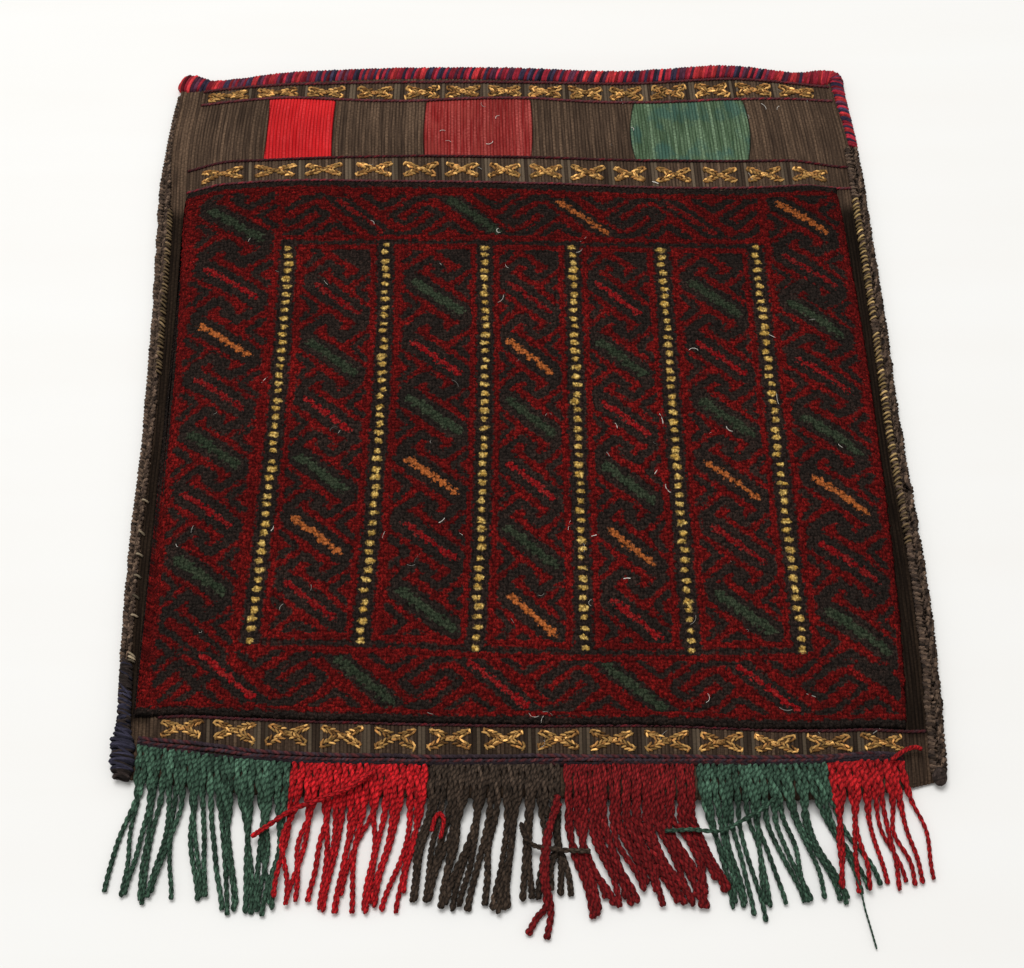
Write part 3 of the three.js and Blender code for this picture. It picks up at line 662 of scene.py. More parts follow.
pile_coat, tree, shader = coat("pile_wool", 1.0)
knot_place = attribute(tree, "knot", "Vector")
place = node(tree, "ShaderNodeTexCoord").outputs["Object"]
knot = node(tree, "ShaderNodeTexVoronoi", {"Vector": knot_place, "Scale": 1.0, "Randomness": 0.55},
            voronoi_dimensions="2D").outputs
luck, tone_luck, _ = node(tree, "ShaderNodeSeparateColor", {0: knot["Color"]}).outputs
fibre = noise(tree, place, 900.0, 3.0, (1.0, 0.55, 1.0))
cloud = noise(tree, place, 16.0, 3.0)
jitter = times(tree, reckon(tree, "SUBTRACT", luck, 0.5), 2.4)
jitter = reckon(tree, "ADD", jitter, times(tree, reckon(tree, "SUBTRACT", fibre, 0.5), 2.6))


def dyed_here(name, slack):
    """Mask of a stored distance whose edge is frayed by the knots' own luck."""
    return step(tree, reckon(tree, "ADD", attribute(tree, name), times(tree, jitter, slack)), -0.8, 0.8)


# Painted light and shade on each knot: lighter at its middle and darker in the gaps between knots. The fibre
# grain and the darker top rows are multiplied in.
painted_knot_light_and_grain = step(tree, knot["Distance"], 0.2, 0.7, 1.24, 0.5)
painted_knot_light_and_grain = times(tree, painted_knot_light_and_grain, step(tree, fibre, 0.3, 0.7, 0.6, 1.3))
# Darker along the top rows of knots.
darker_at_top = step(tree, axes(tree, knot_place)["Y"], 15.0, 45.0, 0.82, 1.0)
painted_knot_light_and_grain = times(tree, painted_knot_light_and_grain, darker_at_top)
tone = times(tree, tone_luck, step(tree, fibre, 0.3, 0.7, 0.4, 1.3))
dark = blend(tree, times(tree, tone, step(tree, cloud, 0.35, 0.65, 0.3, 1.0)), PILE_BLACK, PILE_GREY)
red = blend(tree, times(tree, tone, step(tree, cloud, 0.3, 0.7, 0.55, 1.15)), CRIMSON, CRIMSON_LIGHT)
colour = blend(tree, dyed_here("black", 1.1), red, dark)
bar_colour = attribute(tree, "bar_dye", "Color")
bar_light = blend(tree, step(tree, tone, 0.0, 1.0, 0.0, 0.2), bar_colour, BAR_BLOOM, "SCREEN")
colour = blend(tree, dyed_here("bar", 1.2), colour, blend(tree, 0.35, bar_colour, bar_light))
colour = blend(tree, dyed_here("dot", 0.35), colour, blend(tree, tone, DOT_GOLD, DOT_PALE))
tree.links.new(shaded(tree, colour, painted_knot_light_and_grain), shader.inputs["Base Color"])
relief(tree, shader, reckon(tree, "SUBTRACT", fibre, times(tree, knot["Distance"], 0.9)), 1.6 * MM)

knots = np.stack([p * KNOTS_ACROSS, q * KNOTS_ALONG, 0 * p], -1).reshape(-1, 3)
pile = piece("wool_pile", pile_points.reshape(-1, 3), pile_faces, pile_coat, "pile_wool", ["knotted_pile"],
             knot=knots, black=black.ravel(), bar=bars.ravel(), dot=dots.ravel(),
             bar_dye=bar_dye.reshape(-1, 4))


# Twined lines. Pairs of dark wool yarns twisted about each other and laid across the front wherever one strip
# of weave meets the next. Here and there a red yarn takes its turn in them.
LINE_Y = np.array([313, 295, 229, 200, -284.5]) * MM
LINE_FROM, LINE_TO = np.array([-0.93, -0.93, -0.94, -0.94, -0.91]), 0.985
LINE_RADIUS, LINE_PITCH, LINE_STOPS = 1.25 * MM, 7.5 * MM, 500
LINE_LIFT, LINE_WANDER = 0.6 * MM, 0.05 * MM
DASH_STOPS, DASH_SHARE, LINE_DULL = 10, np.array([0.15, 0.3, 0.3, 0.3, 0.1]), np.array([0.8, 1, 1, 0.9, 0.5])
TWO_PLY = np.array([(1, 0), (0.8, 0.5), (0, 0.58), (-0.8, 0.5),
                    (-1, 0), (-0.8, -0.5), (0, -0.58), (0.8, -0.5)])
FIRST_PLY = np.array([1, 1, 0.5, 0, 0, 0, 0.5, 1])
PLY_SHADE = np.array([1, 0.98, 0.76, 0.98, 1, 0.98, 0.76, 0.98])
YARN_ROUGH, YARN_FUZZ, LINE_PLUMP = 0.95, 0.5 * MM, 1.2
YARN_RIM, YARN_END = 0.03, 0.02  # margins on the bake map
LINE_MAROON, LINE_PURPLE, LINE_RED = srgb(118, 54, 57), srgb(97, 57, 62), srgb(156, 54, 62)
WOOL_FADED = srgb(170, 160, 145)

spun_wool = bpy.data.node_groups.new("spun_wool", "ShaderNodeTree")
for socket, kind in (("Dye", "Color"), ("Run", "Vector"), ("Fading", "Float"), ("Twist", "Float")):
    spun_wool.interface.new_socket(socket, in_out="INPUT", socket_type="NodeSocket" + kind)
for socket, kind in (("Color", "Color"), ("Height", "Float")):
    spun_wool.interface.new_socket(socket, in_out="OUTPUT", socket_type="NodeSocket" + kind)
given = spun_wool.nodes.new("NodeGroupInput").outputs
fibres = noise(spun_wool, given["Run"], 1.0, 3.0, (450.0, 3200.0, 3.7))
patches = noise(spun_wool, given["Run"], 1.0, 2.0, (60.0, 90.0, 1.3))
run_along, run_round, run_number = axes(spun_wool, given["Run"])
winding = times(spun_wool, reckon(spun_wool, "ADD", run_along, run_round), given["Twist"])
winding = reckon(spun_wool, "ADD", winding, times(spun_wool, run_number, 2.4))
plies = step(spun_wool, reckon(spun_wool, "SINE", winding), -1.0, 0.1)
tint_and_groove_shade = step(spun_wool, fibres, 0.28, 0.72, 0.55, 1.35)
tint_and_groove_shade = times(spun_wool, tint_and_groove_shade, step(spun_wool, patches, 0.25, 0.75, 0.75, 1.25))
# Painted shade in the grooves where the plies wind round the yarn.
tint_and_groove_shade = times(spun_wool, tint_and_groove_shade, step(spun_wool, plies, 0.0, 1.0, 0.45, 1.0))
faded = times(spun_wool, step(spun_wool, fibres, 0.55, 0.85), given["Fading"])
node(spun_wool, "NodeGroupOutput", {
    "Color": blend(spun_wool, faded, shaded(spun_wool, given["Dye"], tint_and_groove_shade), WOOL_FADED),
    "Height": reckon(spun_wool, "ADD", fibres, plies)})


def yarn_coat(name, fading, depth=YARN_FUZZ, sheen=0.02, twist=None):
    """A wool yarn's material: the dye stored on the yarn, with fibres along it, some of them faded. Its plies
    wind round it once for each length of the twist."""
    made, tree, shader = coat(name, YARN_ROUGH, sheen)
    feeds = {"Dye": attribute(tree, "dye", "Color"), "Run": attribute(tree, "run", "Vector"),
             "Fading": fading, "Twist": 2 * math.pi / twist if twist else 0.0}
    spun = node(tree, "ShaderNodeGroup", feeds, node_tree=spun_wool).outputs
    tree.links.new(spun["Color"], shader.inputs["Base Color"])
    relief(tree, shader, spun["Height"], depth)
    return made


def unit(vectors):
    """The same directions, each with a length of one."""
    return vectors / np.linalg.norm(vectors, axis=-1, keepdims=True)


def yarns(name, paths, section, dyes, material, slot, stands_for=(), width=1.0, across=(0.0, 0.0, 1.0),
          pitch=None, phase=0.0, joined=False):
    """Yarns along many paths at once: at each point the section is laid out square to the path, on the
    direction across it and the one square to both, and turned by a whole turn for each pitch of length.
    Joined paths close."""
    count, stops, _ = paths.shape
    sides_round = len(section)
    ahead = unit(np.roll(paths, -1, 1) - np.roll(paths, 1, 1) if joined else np.gradient(paths, axis=1))
    first = unit(np.cross(ahead, np.broadcast_to(across, paths.shape)))
    second = np.cross(first, ahead)
    length = length_along(paths)
    turn = (phase + (2 * np.pi * length / pitch if pitch else 0 * length))[..., None]
    reach = np.broadcast_to(width, (count, stops))[..., None]
    a = (section[:, 0] * np.cos(turn) - section[:, 1] * np.sin(turn)) * reach
    b = (section[:, 0] * np.sin(turn) + section[:, 1] * np.cos(turn)) * reach
    points = paths[:, :, None] + a[..., None] * first[:, :, None] + b[..., None] * second[:, :, None]

    index = np.arange(count * stops * sides_round).reshape(count, stops, sides_round)
    ringed = np.concatenate([index, index[..., :1]], 2)
    ringed = np.concatenate([ringed, ringed[:, :1]], 1) if joined else ringed
    skin = np.stack([ringed[:, :-1, :-1], ringed[:, 1:, :-1], ringed[:, 1:, 1:], ringed[:, :-1, 1:]], -1)
    girth = np.linalg.norm(np.diff(section, axis=0), axis=1).sum() * float(np.mean(reach))
    tiers = max(1, round(math.sqrt(count * girth / max(float(length[:, -1].mean()), girth))))
    tiers_wide = math.ceil(count / tiers)
    number, cells = np.arange(count)[:, None, None, None], ringed.shape[1] - 1
    along, around = np.meshgrid(np.arange(cells), np.arange(sides_round), indexing="ij")
    u = (around[..., None] + np.array([0, 0, 1, 1])) / sides_round
    v = (along[..., None] + np.array([0, 1, 1, 0])) / cells
    skin_map = np.stack([(number % tiers_wide + YARN_RIM + (1 - 2 * YARN_RIM) * u) / tiers_wide,
                         (number // tiers_wide + YARN_END + (1 - 2 * YARN_END) * v) / tiers], -1)
    faces = [(skin.reshape(-1, 4), skin_map.reshape(-1, 4, 2))]
    if not joined:
        middles = np.stack([(number % tiers_wide + 0.5) / tiers_wide,
                            (number // tiers_wide + 0.5) / tiers], -1)
        spots = np.broadcast_to(middles[:, 0, 0], (count, sides_round, 2))
        faces += [(index[:, 0], spots), (index[:, -1, ::-1], spots)]
    colours = np.ones((count, stops, sides_round, 4))
    colours[..., :3] = dyes
    girths = np.arange(sides_round) / sides_round * girth
    run = np.stack(np.broadcast_arrays(length[..., None], girths, np.arange(count)[:, None, None] * 1.0), -1)
    return piece(name, points.reshape(-1, 3), faces, material, slot, stands_for, dye=colours.reshape(-1, 4),
                 run=run.reshape(-1, 3))


def plied(first, second):
    """Dyes round a two-ply yarn: each ply has its own, and the groove between them is darkened with painted
    shade.
    """
    mixed = first[..., None, :] * FIRST_PLY[:, None] + second[..., None, :] * (1 - FIRST_PLY[:, None])
    return mixed * PLY_SHADE[:, None]


def on_front(s, y, above):
    """Points that lie on the front, a little above it."""
    x, y_there = on_bag(s, y)
    return np.stack([x, y_there, front_height(s, y_there) + lip_lift(y) + above], -1)


line_s = np.linspace(LINE_FROM, LINE_TO, LINE_STOPS, axis=1)
line_paths = on_front(line_s, LINE_Y[:, None], LINE_LIFT)
line_wander = np.cumsum(draw.normal(0, LINE_WANDER, line_s.shape), 1)
line_paths[..., 1] += line_wander * np.sin(np.pi * (line_s + 1) / 2)
dash = draw.random((len(LINE_Y), LINE_STOPS // DASH_STOPS)) < DASH_SHARE[:, None]
dash = dash.repeat(DASH_STOPS, 1)[..., None]
line_dull = LINE_DULL[:, None, None]
twined = yarns("twined_lines", line_paths, TWO_PLY * (1.0, LINE_PLUMP) * LINE_RADIUS,
               plied(np.where(dash, LINE_RED, LINE_MAROON) * line_dull, LINE_PURPLE * line_dull),
               yarn_coat("line_wool", fading=0.06), "heading_yarn", pitch=LINE_PITCH)


# Gold crosses. Small crosses brocaded over the ribs of three strips in two golds. Each arm is a narrow loop:
# two rows of short stitches that slant towards each other, closed by a stitch at the end.
CROSS_Y = np.array([303.5, 214.5, -294.5]) * MM
CROSS_HALF, CROSS_RISE = np.array([13.0, 12.4, 13.6]) * MM, np.array([4.0, 6.4, 5.8]) * MM
CROSS_ALONG, CROSS_BROAD, LOWER_BROAD = np.array([-240, -60, 100, 245]) * MM, [1.3, 1.0, 1.0, 1.1], 0.95
CROSS_LOOP, CROSS_STITCH = 1.7 * MM, 2.1 * MM
CROSS_SLANT, CROSS_LIFT = 0.4, 0.6 * MM
STITCH_RADIUS, STITCH_TAPER = np.array([0.82, 0.9, 0.75]) * MM, np.array([0.7, 1.05, 1.05, 0.7])
STITCH_BEND = np.array([-1.0, -0.4, 0.4, 1.0])
STITCH_ASTRAY, STITCH_AWRY = 0.25 * MM, 0.2
GOLD_SHARE, GOLD_SPREAD = 0.6, 0.38
ARMS = np.array([(1, 1), (1, -1), (-1, -1), (-1, 1)])
ROW_AT, ROW_SIDE = np.array([0.10, 0.32, 0.54, 0.76, 0.94]), np.array([0.4, 0.85, 1, 1, 0.8])
END_AT, END_SIDE = [1.02, 0.45, 0.7], [0, 0, 0]  # the stitch that closes the loop, and two inside it
CROSS_SIZES, STITCH_LENGTHS, STITCH_ROUND, INSIDE_DULL = (0.9, 1.08), (0.8, 1.15), 0.7, 0.55
CROSS_GOLD, CROSS_TAN = srgb(206, 158, 92), srgb(162, 115, 64)
ROUND_SIX = np.array([(math.cos(math.pi * k / 3), math.sin(math.pi * k / 3)) for k in range(6)])


def varied(dye, spread, *shape):
    """One dye for each yarn, lighter or darker by chance."""
    return dye * np.exp(draw.normal(0, spread, (*shape, 1)))


stitch_at = np.concatenate([ROW_AT, ROW_AT, END_AT])
stitch_side = np.concatenate([-ROW_SIDE, ROW_SIDE, END_SIDE])
stitch_turn = np.repeat([CROSS_SLANT, -CROSS_SLANT, math.pi / 2, 0], [len(ROW_AT), len(ROW_AT), 1, 2])
stitch_shade = np.repeat([1, INSIDE_DULL], [2 * len(ROW_AT) + 1, 2])
cross_x = np.concatenate([UPPER_CROSSES, MIDDLE_CROSSES, LOWER_CROSSES])
cross_strip = np.repeat([0, 1, 2], [len(UPPER_CROSSES), len(MIDDLE_CROSSES), len(LOWER_CROSSES)])
cross_size = draw.uniform(*CROSS_SIZES, (len(cross_x), len(ARMS), 1))
cross_broad = np.where(cross_strip < 2, np.interp(cross_x, CROSS_ALONG, CROSS_BROAD), LOWER_BROAD)
arm_reach = np.stack([CROSS_HALF[cross_strip] * cross_broad, CROSS_RISE[cross_strip]], -1)
arm_way = arm_reach[:, None] * cross_size * ARMS
arm_ahead = unit(arm_way)
arm_side = np.stack([-arm_ahead[..., 1], arm_ahead[..., 0]], -1)
stitch_turns = stitch_turn + draw.normal(0, STITCH_AWRY, (*arm_way.shape[:2], len(stitch_turn)))
stitch_reach = STITCH_BEND * CROSS_STITCH * draw.uniform(*STITCH_LENGTHS, (*stitch_turns.shape, 1))
stitch_way = (arm_ahead[:, :, None] * np.cos(stitch_turns)[..., None]
              + arm_side[:, :, None] * np.sin(stitch_turns)[..., None])
stitches = (arm_way[:, :, None] * stitch_at[:, None]
            + arm_side[:, :, None] * CROSS_LOOP * stitch_side[:, None]
            + np.stack([cross_x, CROSS_Y[cross_strip]], -1)[:, None, None]
            + draw.normal(0, STITCH_ASTRAY, (*stitch_turns.shape, 2)))
stitches = stitches[..., None, :] + stitch_way[..., None, :] * stitch_reach[..., None]
stitch_x, stitch_flat_y = stitches.reshape(-1, len(STITCH_BEND), 2).transpose(2, 0, 1)
stitch_s = share(stitch_x, stitch_flat_y)
stitch_y = pulled(stitch_s, stitch_flat_y)
stitch_up = lip_lift(stitch_flat_y) + CROSS_LIFT * (1 - STITCH_BEND ** 2) ** STITCH_ROUND
stitch_z = front_height(stitch_s, stitch_y) + stitch_up
gold = np.where(draw.random((len(stitch_x), 1)) < GOLD_SHARE, CROSS_GOLD, CROSS_TAN)
gold = varied(gold, GOLD_SPREAD, len(gold)) * np.tile(stitch_shade, len(cross_x) * len(ARMS))[:, None]
stitch_radius = np.repeat(STITCH_RADIUS[cross_strip], len(ARMS) * len(stitch_at))[:, None]
crosses = yarns("gold_crosses", np.stack([stitch_x, stitch_y, stitch_z], -1), ROUND_SIX, gold[:, None, None],
                yarn_coat("cross_wool", fading=0.06), "cloth_wool",
                width=stitch_radius * STITCH_TAPER)


# Mouth bindings. Each lip is rolled and overcast with doubled wool, crimson and navy by turns. The front one
# ends in a knob at the left corner; at the right it turns the corner and runs a little way down the side.
ROLL_WIDE, ROLL_HIGH, ROLL_OUT = 15 * MM, 9 * MM, 0.5 * MM
ROLL_FROM, ROLL_TO, ROLL_STOPS = -1.008, 0.99, 300
SIDE_STOPS, ROLL_SLACK, ROLL_CLEAR = 40, 1.1, 0.1 * MM
KNOB_AT, KNOB_GROW = np.array([0, 4, 10, 17, 24]) * MM, np.array([0.6, 1.15, 1.3, 1.22, 1.0])
CORNER_AT, CORNER_GROW = np.array([-30, -10, 3, 12, 26, 60]) * MM, [1, 1.2, 1.15, 0.8, 0.7, 0.6]
CORNER_TURN, CORNER_STEPS, CORNER_GAP = 6 * MM, np.radians(np.linspace(80, 0, 9)), 2 * MM
CORNER_CROWD, CROWD_AT, CROWD_REACH = 1.6, 4 * MM, 8 * MM
SIDE_RUN_END, SIDE_RUN_OUT, SIDE_RUN_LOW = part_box("mouth_binding_front")[0].y + 1.5 * MM, 3 * MM, 3.6 * MM
WRAP_PITCH, WRAP_RADIUS = 2.5 * MM, 1.5 * MM
WRAP_SLANT, WRAP_STOPS = 2.0 * MM, 14
WRAP_LOOSE, WRAP_ASTRAY = 0.04, 0.25 * MM
WRAP_UNEVEN, WRAP_SPREAD = 0.16, 0.2
COLD_AT = np.array([0, 30, 120, 525, 545, 568, 574]) * MM
COLD_SHARE = [0.25, 0.7, 0.85, 0.85, 0.15, 0.15, 0.95]
RED_ABOVE, PURPLE_BELOW = 0.75, 0.22
BACK_TAPER, BACK_THIN, BACK_STOPS = 70 * MM, 0.6, 60
BACK_IN, BACK_UP, BACK_FINE = 2 * MM, 0.2 * MM, 0.8
WRAP_CRIMSON, WRAP_RED, WRAP_NAVY, WRAP_PURPLE = (srgb(*dye) for dye in (
    (164, 40, 56), (188, 52, 56), (58, 50, 72), (92, 50, 70)))


def wound(name, path, wide, high, dyes, material, slot, stands_for, pitch, radius, slant, astray=0.0,
          crowd=None):
    """Yarn wound round a path: one ring for every pitch of its length, an oval across the path, each ring
    leaning along it by the cosine of the way round, with some chance in the lean. They stand closer where it
    is crowded."""
    length = length_along(path)
    wraps = np.diff(length) / pitch * (crowd((length[1:] + length[:-1]) / 2) if crowd else 1.0)
    wraps = np.concatenate([[0], np.cumsum(wraps)])
    stations = np.interp(np.arange(0.5, wraps[-1]), wraps, length)
    middle = np.stack([np.interp(stations, length, axis) for axis in path.T], -1)
    ahead = unit(np.gradient(middle, axis=0))
    out = unit(np.cross((0.0, 0.0, 1.0), ahead))
    up = np.cross(ahead, out)
    turn = np.linspace(0, 2 * np.pi, WRAP_STOPS, endpoint=False)[None, :, None]
    loose = 1 + draw.normal(0, WRAP_LOOSE, (len(stations), 1, 1))
    a, b = ((half(stations)[:, None, None] - radius) * loose for half in (wide, high))
    lean = slant + draw.normal(0, WRAP_ASTRAY + astray, (len(stations), 1, 1))
    rings = (middle[:, None] + a * np.cos(turn) * out[:, None] + b * np.sin(turn) * up[:, None]
             + lean * np.cos(turn) * ahead[:, None])
    uneven = np.exp(draw.normal(0, WRAP_UNEVEN, (len(stations), WRAP_STOPS, 1, 1)))
    return yarns(name, rings, ROUND_SIX * radius, dyes(stations)[:, None, None] * uneven, material, slot,
                 stands_for, across=ahead[:, None], joined=True)


def overcast(stations):
    """Dyes of the wraps: one or two of crimson or red by turns with one or two of navy or purple."""
    count = len(stations)
    run = np.repeat(np.arange(count), draw.integers(1, 3, count))[:count]
    lot = draw.random(count)[run][:, None]
    cold = (run % 2 > 0)[:, None] & (lot < np.interp(stations, COLD_AT, COLD_SHARE)[:, None])
    warm_dye, cold_dye = (np.where(lot > RED_ABOVE, WRAP_RED, WRAP_CRIMSON),
                          np.where(lot < PURPLE_BELOW, WRAP_PURPLE, WRAP_NAVY))
    return varied(np.where(cold, cold_dye, warm_dye), WRAP_SPREAD, count)


binding_coat = yarn_coat("binding_wool", fading=0.06, sheen=0.03)
lip_s = np.linspace(ROLL_FROM, ROLL_TO, ROLL_STOPS)
lip_x, lip_y = on_bag(lip_s, LIP_Y + ROLL_OUT)
lip_run = length_along(np.stack([lip_x, lip_y], -1))


def roll(at):
    """How thick the front roll is: a knob at its left end, a lump at the right corner, and thin down the
    side."""
    return flowing(at, KNOB_AT, KNOB_GROW) * np.interp(at, lip_run[-1] + CORNER_AT, CORNER_GROW)


def corner_crowd(at):
    """How much closer the wraps stand: more than twice as close round the right corner."""
    return 1 + CORNER_CROWD * np.exp(-((at - lip_run[-1] - CROWD_AT) / CROWD_REACH) ** 2)


lip_least = ROLL_HIGH / 2 * roll(lip_run) * ROLL_SLACK + ROLL_CLEAR
lip_z = np.maximum(CLOTH_THICK + LIP_LIFT + rise(lip_s, lip_y) * (POCKET_GAP + CLOTH_THICK / 2), lip_least)
side_y = np.linspace(lip_y[-1] - CORNER_TURN - CORNER_GAP, SIDE_RUN_END, SIDE_STOPS)
corner_x = lip_x[-1] + CORNER_TURN * np.cos(CORNER_STEPS)
corner_y = lip_y[-1] + CORNER_TURN * (np.sin(CORNER_STEPS) - 1)
front_path = np.concatenate([
    np.stack([lip_x, lip_y, lip_z], -1),
    np.stack([corner_x, corner_y, lip_z[-1] + 0 * CORNER_STEPS], -1),
    np.stack([flowing(side_y, EDGE_Y, RIGHT_X) + SIDE_RUN_OUT, side_y,
              np.linspace(lip_z[-1], SIDE_RUN_LOW, SIDE_STOPS)], -1)])
front_binding = wound("lip_binding_front", front_path, lambda at: ROLL_WIDE / 2 * roll(at),
                      lambda at: ROLL_HIGH / 2 * roll(at), overcast, binding_coat, "binding_yarn",
                      ["mouth_binding_front"], WRAP_PITCH, WRAP_RADIUS, WRAP_SLANT, crowd=corner_crowd)

back_low, back_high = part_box("mouth_binding_back")
back_s = np.linspace(*share(np.array([back_low.x, back_high.x]), np.array([LIP_Y, LIP_Y])), BACK_STOPS)
back_x, back_y = on_bag(back_s, (back_low.y + back_high.y) / 2 - BACK_IN)
back_path = np.stack([back_x, back_y, 0 * back_s + (back_low.z + back_high.z) / 2 + BACK_UP], -1)


def back_roll(at):
    """How thick the back roll is: full, and thinner towards its ends."""
    return BACK_THIN + (1 - BACK_THIN) * eased(np.minimum(at, back_high.x - back_low.x - at) / BACK_TAPER)


back_binding = wound("lip_binding_back", back_path, lambda at: (back_high.y - back_low.y) / 2 * back_roll(at),
                     lambda at: (back_high.z - back_low.z) / 2 * back_roll(at), overcast, binding_coat,
                     "binding_yarn", ["mouth_binding_back"], WRAP_PITCH, WRAP_RADIUS * BACK_FINE, WRAP_SLANT)


# Side plaits. A flat plait of five dark goat-hair strands closes each side: it is sewn over the two edges of
# the cloth, from the mouth down to the lower corner. The right one grows wider downwards, the left one is
# thin at its top.
PLAIT_Y = np.array([-325, -270, -190, -100, 60, 205, 235, 330]) * MM
PLAIT_LEFT = np.array([  # out of the edge, swing and strand's radius at each of those
    (0.4, 2.9, 1.7), (0.4, 2.9, 1.7), (0.4, 3.0, 1.7), (0.4, 3.1, 1.7),
    (0.6, 3.2, 1.8), (0.8, 3.2, 1.7), (0.4, 1.8, 1.3), (0.3, 1.5, 1.1)]) * MM
PLAIT_RIGHT = np.array([
    (2.2, 4.4, 2.0), (2.4, 4.8, 2.1), (3.2, 4.5, 2.0), (2.6, 4.2, 2.0),
    (1.0, 4.3, 2.0), (0.4, 4.2, 1.9), (0.4, 4.0, 1.9), (0.4, 3.9, 1.8)]) * MM
PLAIT_LIFT, PLAIT_PITCH, PLAIT_STRANDS = 1.9 * MM, 17 * MM, 5
PLAIT_STEP, STRAND_PITCH, STRAND_UP, STRAND_PLUMP = 1.5 * MM, 7 * MM, 1.5, 1.35
SWING_EVERY, SWING_SPREAD = 5, 0.1
TURN_SPREAD, HAIR_SPREAD = 0.09, 0.22
LEFT_DOWN, RIGHT_UP = 16 * MM, 5 * MM  # how far short of its node the left one starts and the right one ends
HAIR_DARK, HAIR_BROWN = srgb(82, 66, 56), srgb(128, 105, 87)


def plait(name, top, foot, side, edge_x, sizes, stands_for):
    """Strands that swing from side to side by the sine of their way along, and up and down twice as often,
    each a strand's share of a turn behind the last."""
    y = np.arange(top, foot, -PLAIT_STEP)
    out, swing, radius = (flowing(y, PLAIT_Y, size) for size in sizes.T)
    stages = np.arange(len(y) // SWING_EVERY + 2)
    uneven = np.interp(np.arange(len(y)) / SWING_EVERY, stages, draw.normal(0, SWING_SPREAD, len(stages)))
    turn = 2 * np.pi * y / PLAIT_PITCH + np.cumsum(draw.normal(0, TURN_SPREAD, len(y)))
    turn = turn + np.arange(PLAIT_STRANDS)[:, None] * 2 * np.pi / PLAIT_STRANDS
    x = flowing(y, EDGE_Y, edge_x) + side * out + swing * (1 + uneven) * np.sin(turn)
    z = STRAND_UP * radius + PLAIT_LIFT * (1 + np.sin(2 * turn))
    paths = np.stack(np.broadcast_arrays(x, y, z), -1)
    dark, brown = (varied(dye, HAIR_SPREAD, *paths.shape[:2]) for dye in (HAIR_DARK, HAIR_BROWN))
    return yarns(name, paths, TWO_PLY * (1.0, STRAND_PLUMP), plied(brown, dark), hair_coat, "braid_hair",
                 stands_for, width=radius, pitch=STRAND_PITCH)


hair_coat = yarn_coat("braid_hair", fading=0.12, depth=0.8 * MM, sheen=0.03)
left_box, right_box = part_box("side_braid_left"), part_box("side_braid_right")
left_plait = plait("side_plait_left", left_box[1].y - LEFT_DOWN, left_box[0].y, -1, LEFT_X, PLAIT_LEFT,
                   ["side_braid_left"])
right_plait = plait("side_plait_right", right_box[1].y, right_box[0].y + RIGHT_UP, 1, RIGHT_X, PLAIT_RIGHT,
                    ["side_braid_right"])


# Lacing. Short wool stitches that sew the plaits to the cloth: a close gold ladder down the upper right side,
# a duller one at the upper left, and only a few pale stitches left below it.
LACE_RIGHT, LACE_RIGHT_PITCH = ((186 * MM, 62 * MM), (48 * MM, -140 * MM)), 4.3 * MM
LACE_LEFT, LACE_LEFT_PITCH = (176 * MM, 10 * MM), 3.9 * MM
LACE_FEW, LACE_FEW_LOW = 9, -240 * MM
LACE_RADIUS, LACE_LIFT = 0.85 * MM, 0.4 * MM
LACE_ASTRAY, LACE_SPREAD = 0.7 * MM, 0.3
LACE_OUT, LACE_RISE = np.array([-7.0, -6.0, -4.8, -3.6, -2.6]) * MM, np.array([0, 7.4, 8.6, 8.8, 7.6]) * MM
LACE_RIGHT_OUT, LACE_LEFT_OUT, LACE_LEFT_LOWER = 0.6 * MM, 1 * MM, 0.8 * MM
LACE_SLOPE, LACE_SLOPE_SPREAD = 0.9 * MM, 0.6 * MM
LACE_DULL_FROM, LACE_DULL_RUN = -50 * MM, 60 * MM
LACE_GOLD, LACE_TAN, LACE_PALE = srgb(186, 156, 104), srgb(120, 100, 72), srgb(150, 134, 110)

right_lace = np.concatenate([np.arange(*run, -LACE_RIGHT_PITCH) for run in LACE_RIGHT])
few_lace = draw.uniform(LACE_FEW_LOW, 0.0, LACE_FEW)
left_lace = np.concatenate([np.arange(*LACE_LEFT, -LACE_LEFT_PITCH), few_lace])
lace_y = np.concatenate([right_lace, left_lace])[:, None]
lace_y = lace_y + draw.normal(0, LACE_ASTRAY, lace_y.shape)
lace_side = np.repeat([1.0, -1.0], [len(right_lace), len(left_lace)])[:, None]
right_edge = flowing(lace_y, EDGE_Y, RIGHT_X) + flowing(lace_y, PLAIT_Y, PLAIT_RIGHT[:, 0]) + LACE_RIGHT_OUT
left_edge = flowing(lace_y, EDGE_Y, LEFT_X) - LACE_LEFT_OUT
lace_x = np.where(lace_side > 0, right_edge, left_edge) + lace_side * LACE_OUT
lace_slope = draw.normal(LACE_SLOPE, LACE_SLOPE_SPREAD, lace_y.shape) * np.linspace(-1, 1, len(LACE_OUT))
lace_bed = front_height(np.clip(share(lace_x, lace_y), -1, 1), lace_y)
lace_z = np.maximum(lace_bed + LACE_LIFT, LACE_RISE - LACE_LEFT_LOWER * (lace_side < 0))
right_dyes = LACE_GOLD + (LACE_TAN - LACE_GOLD) * eased((LACE_DULL_FROM - lace_y) / LACE_DULL_RUN)
left_dyes = np.where(lace_y > 0, LACE_TAN, LACE_PALE)
lace_dyes = varied(np.where(lace_side > 0, right_dyes, left_dyes), LACE_SPREAD, len(lace_y))
lacing = yarns("seam_lacing", np.stack([lace_x, lace_y + lace_slope, lace_z], -1), ROUND_SIX * LACE_RADIUS,
               lace_dyes[:, None, None], yarn_coat("lace_wool", fading=0.08), "braid_hair")


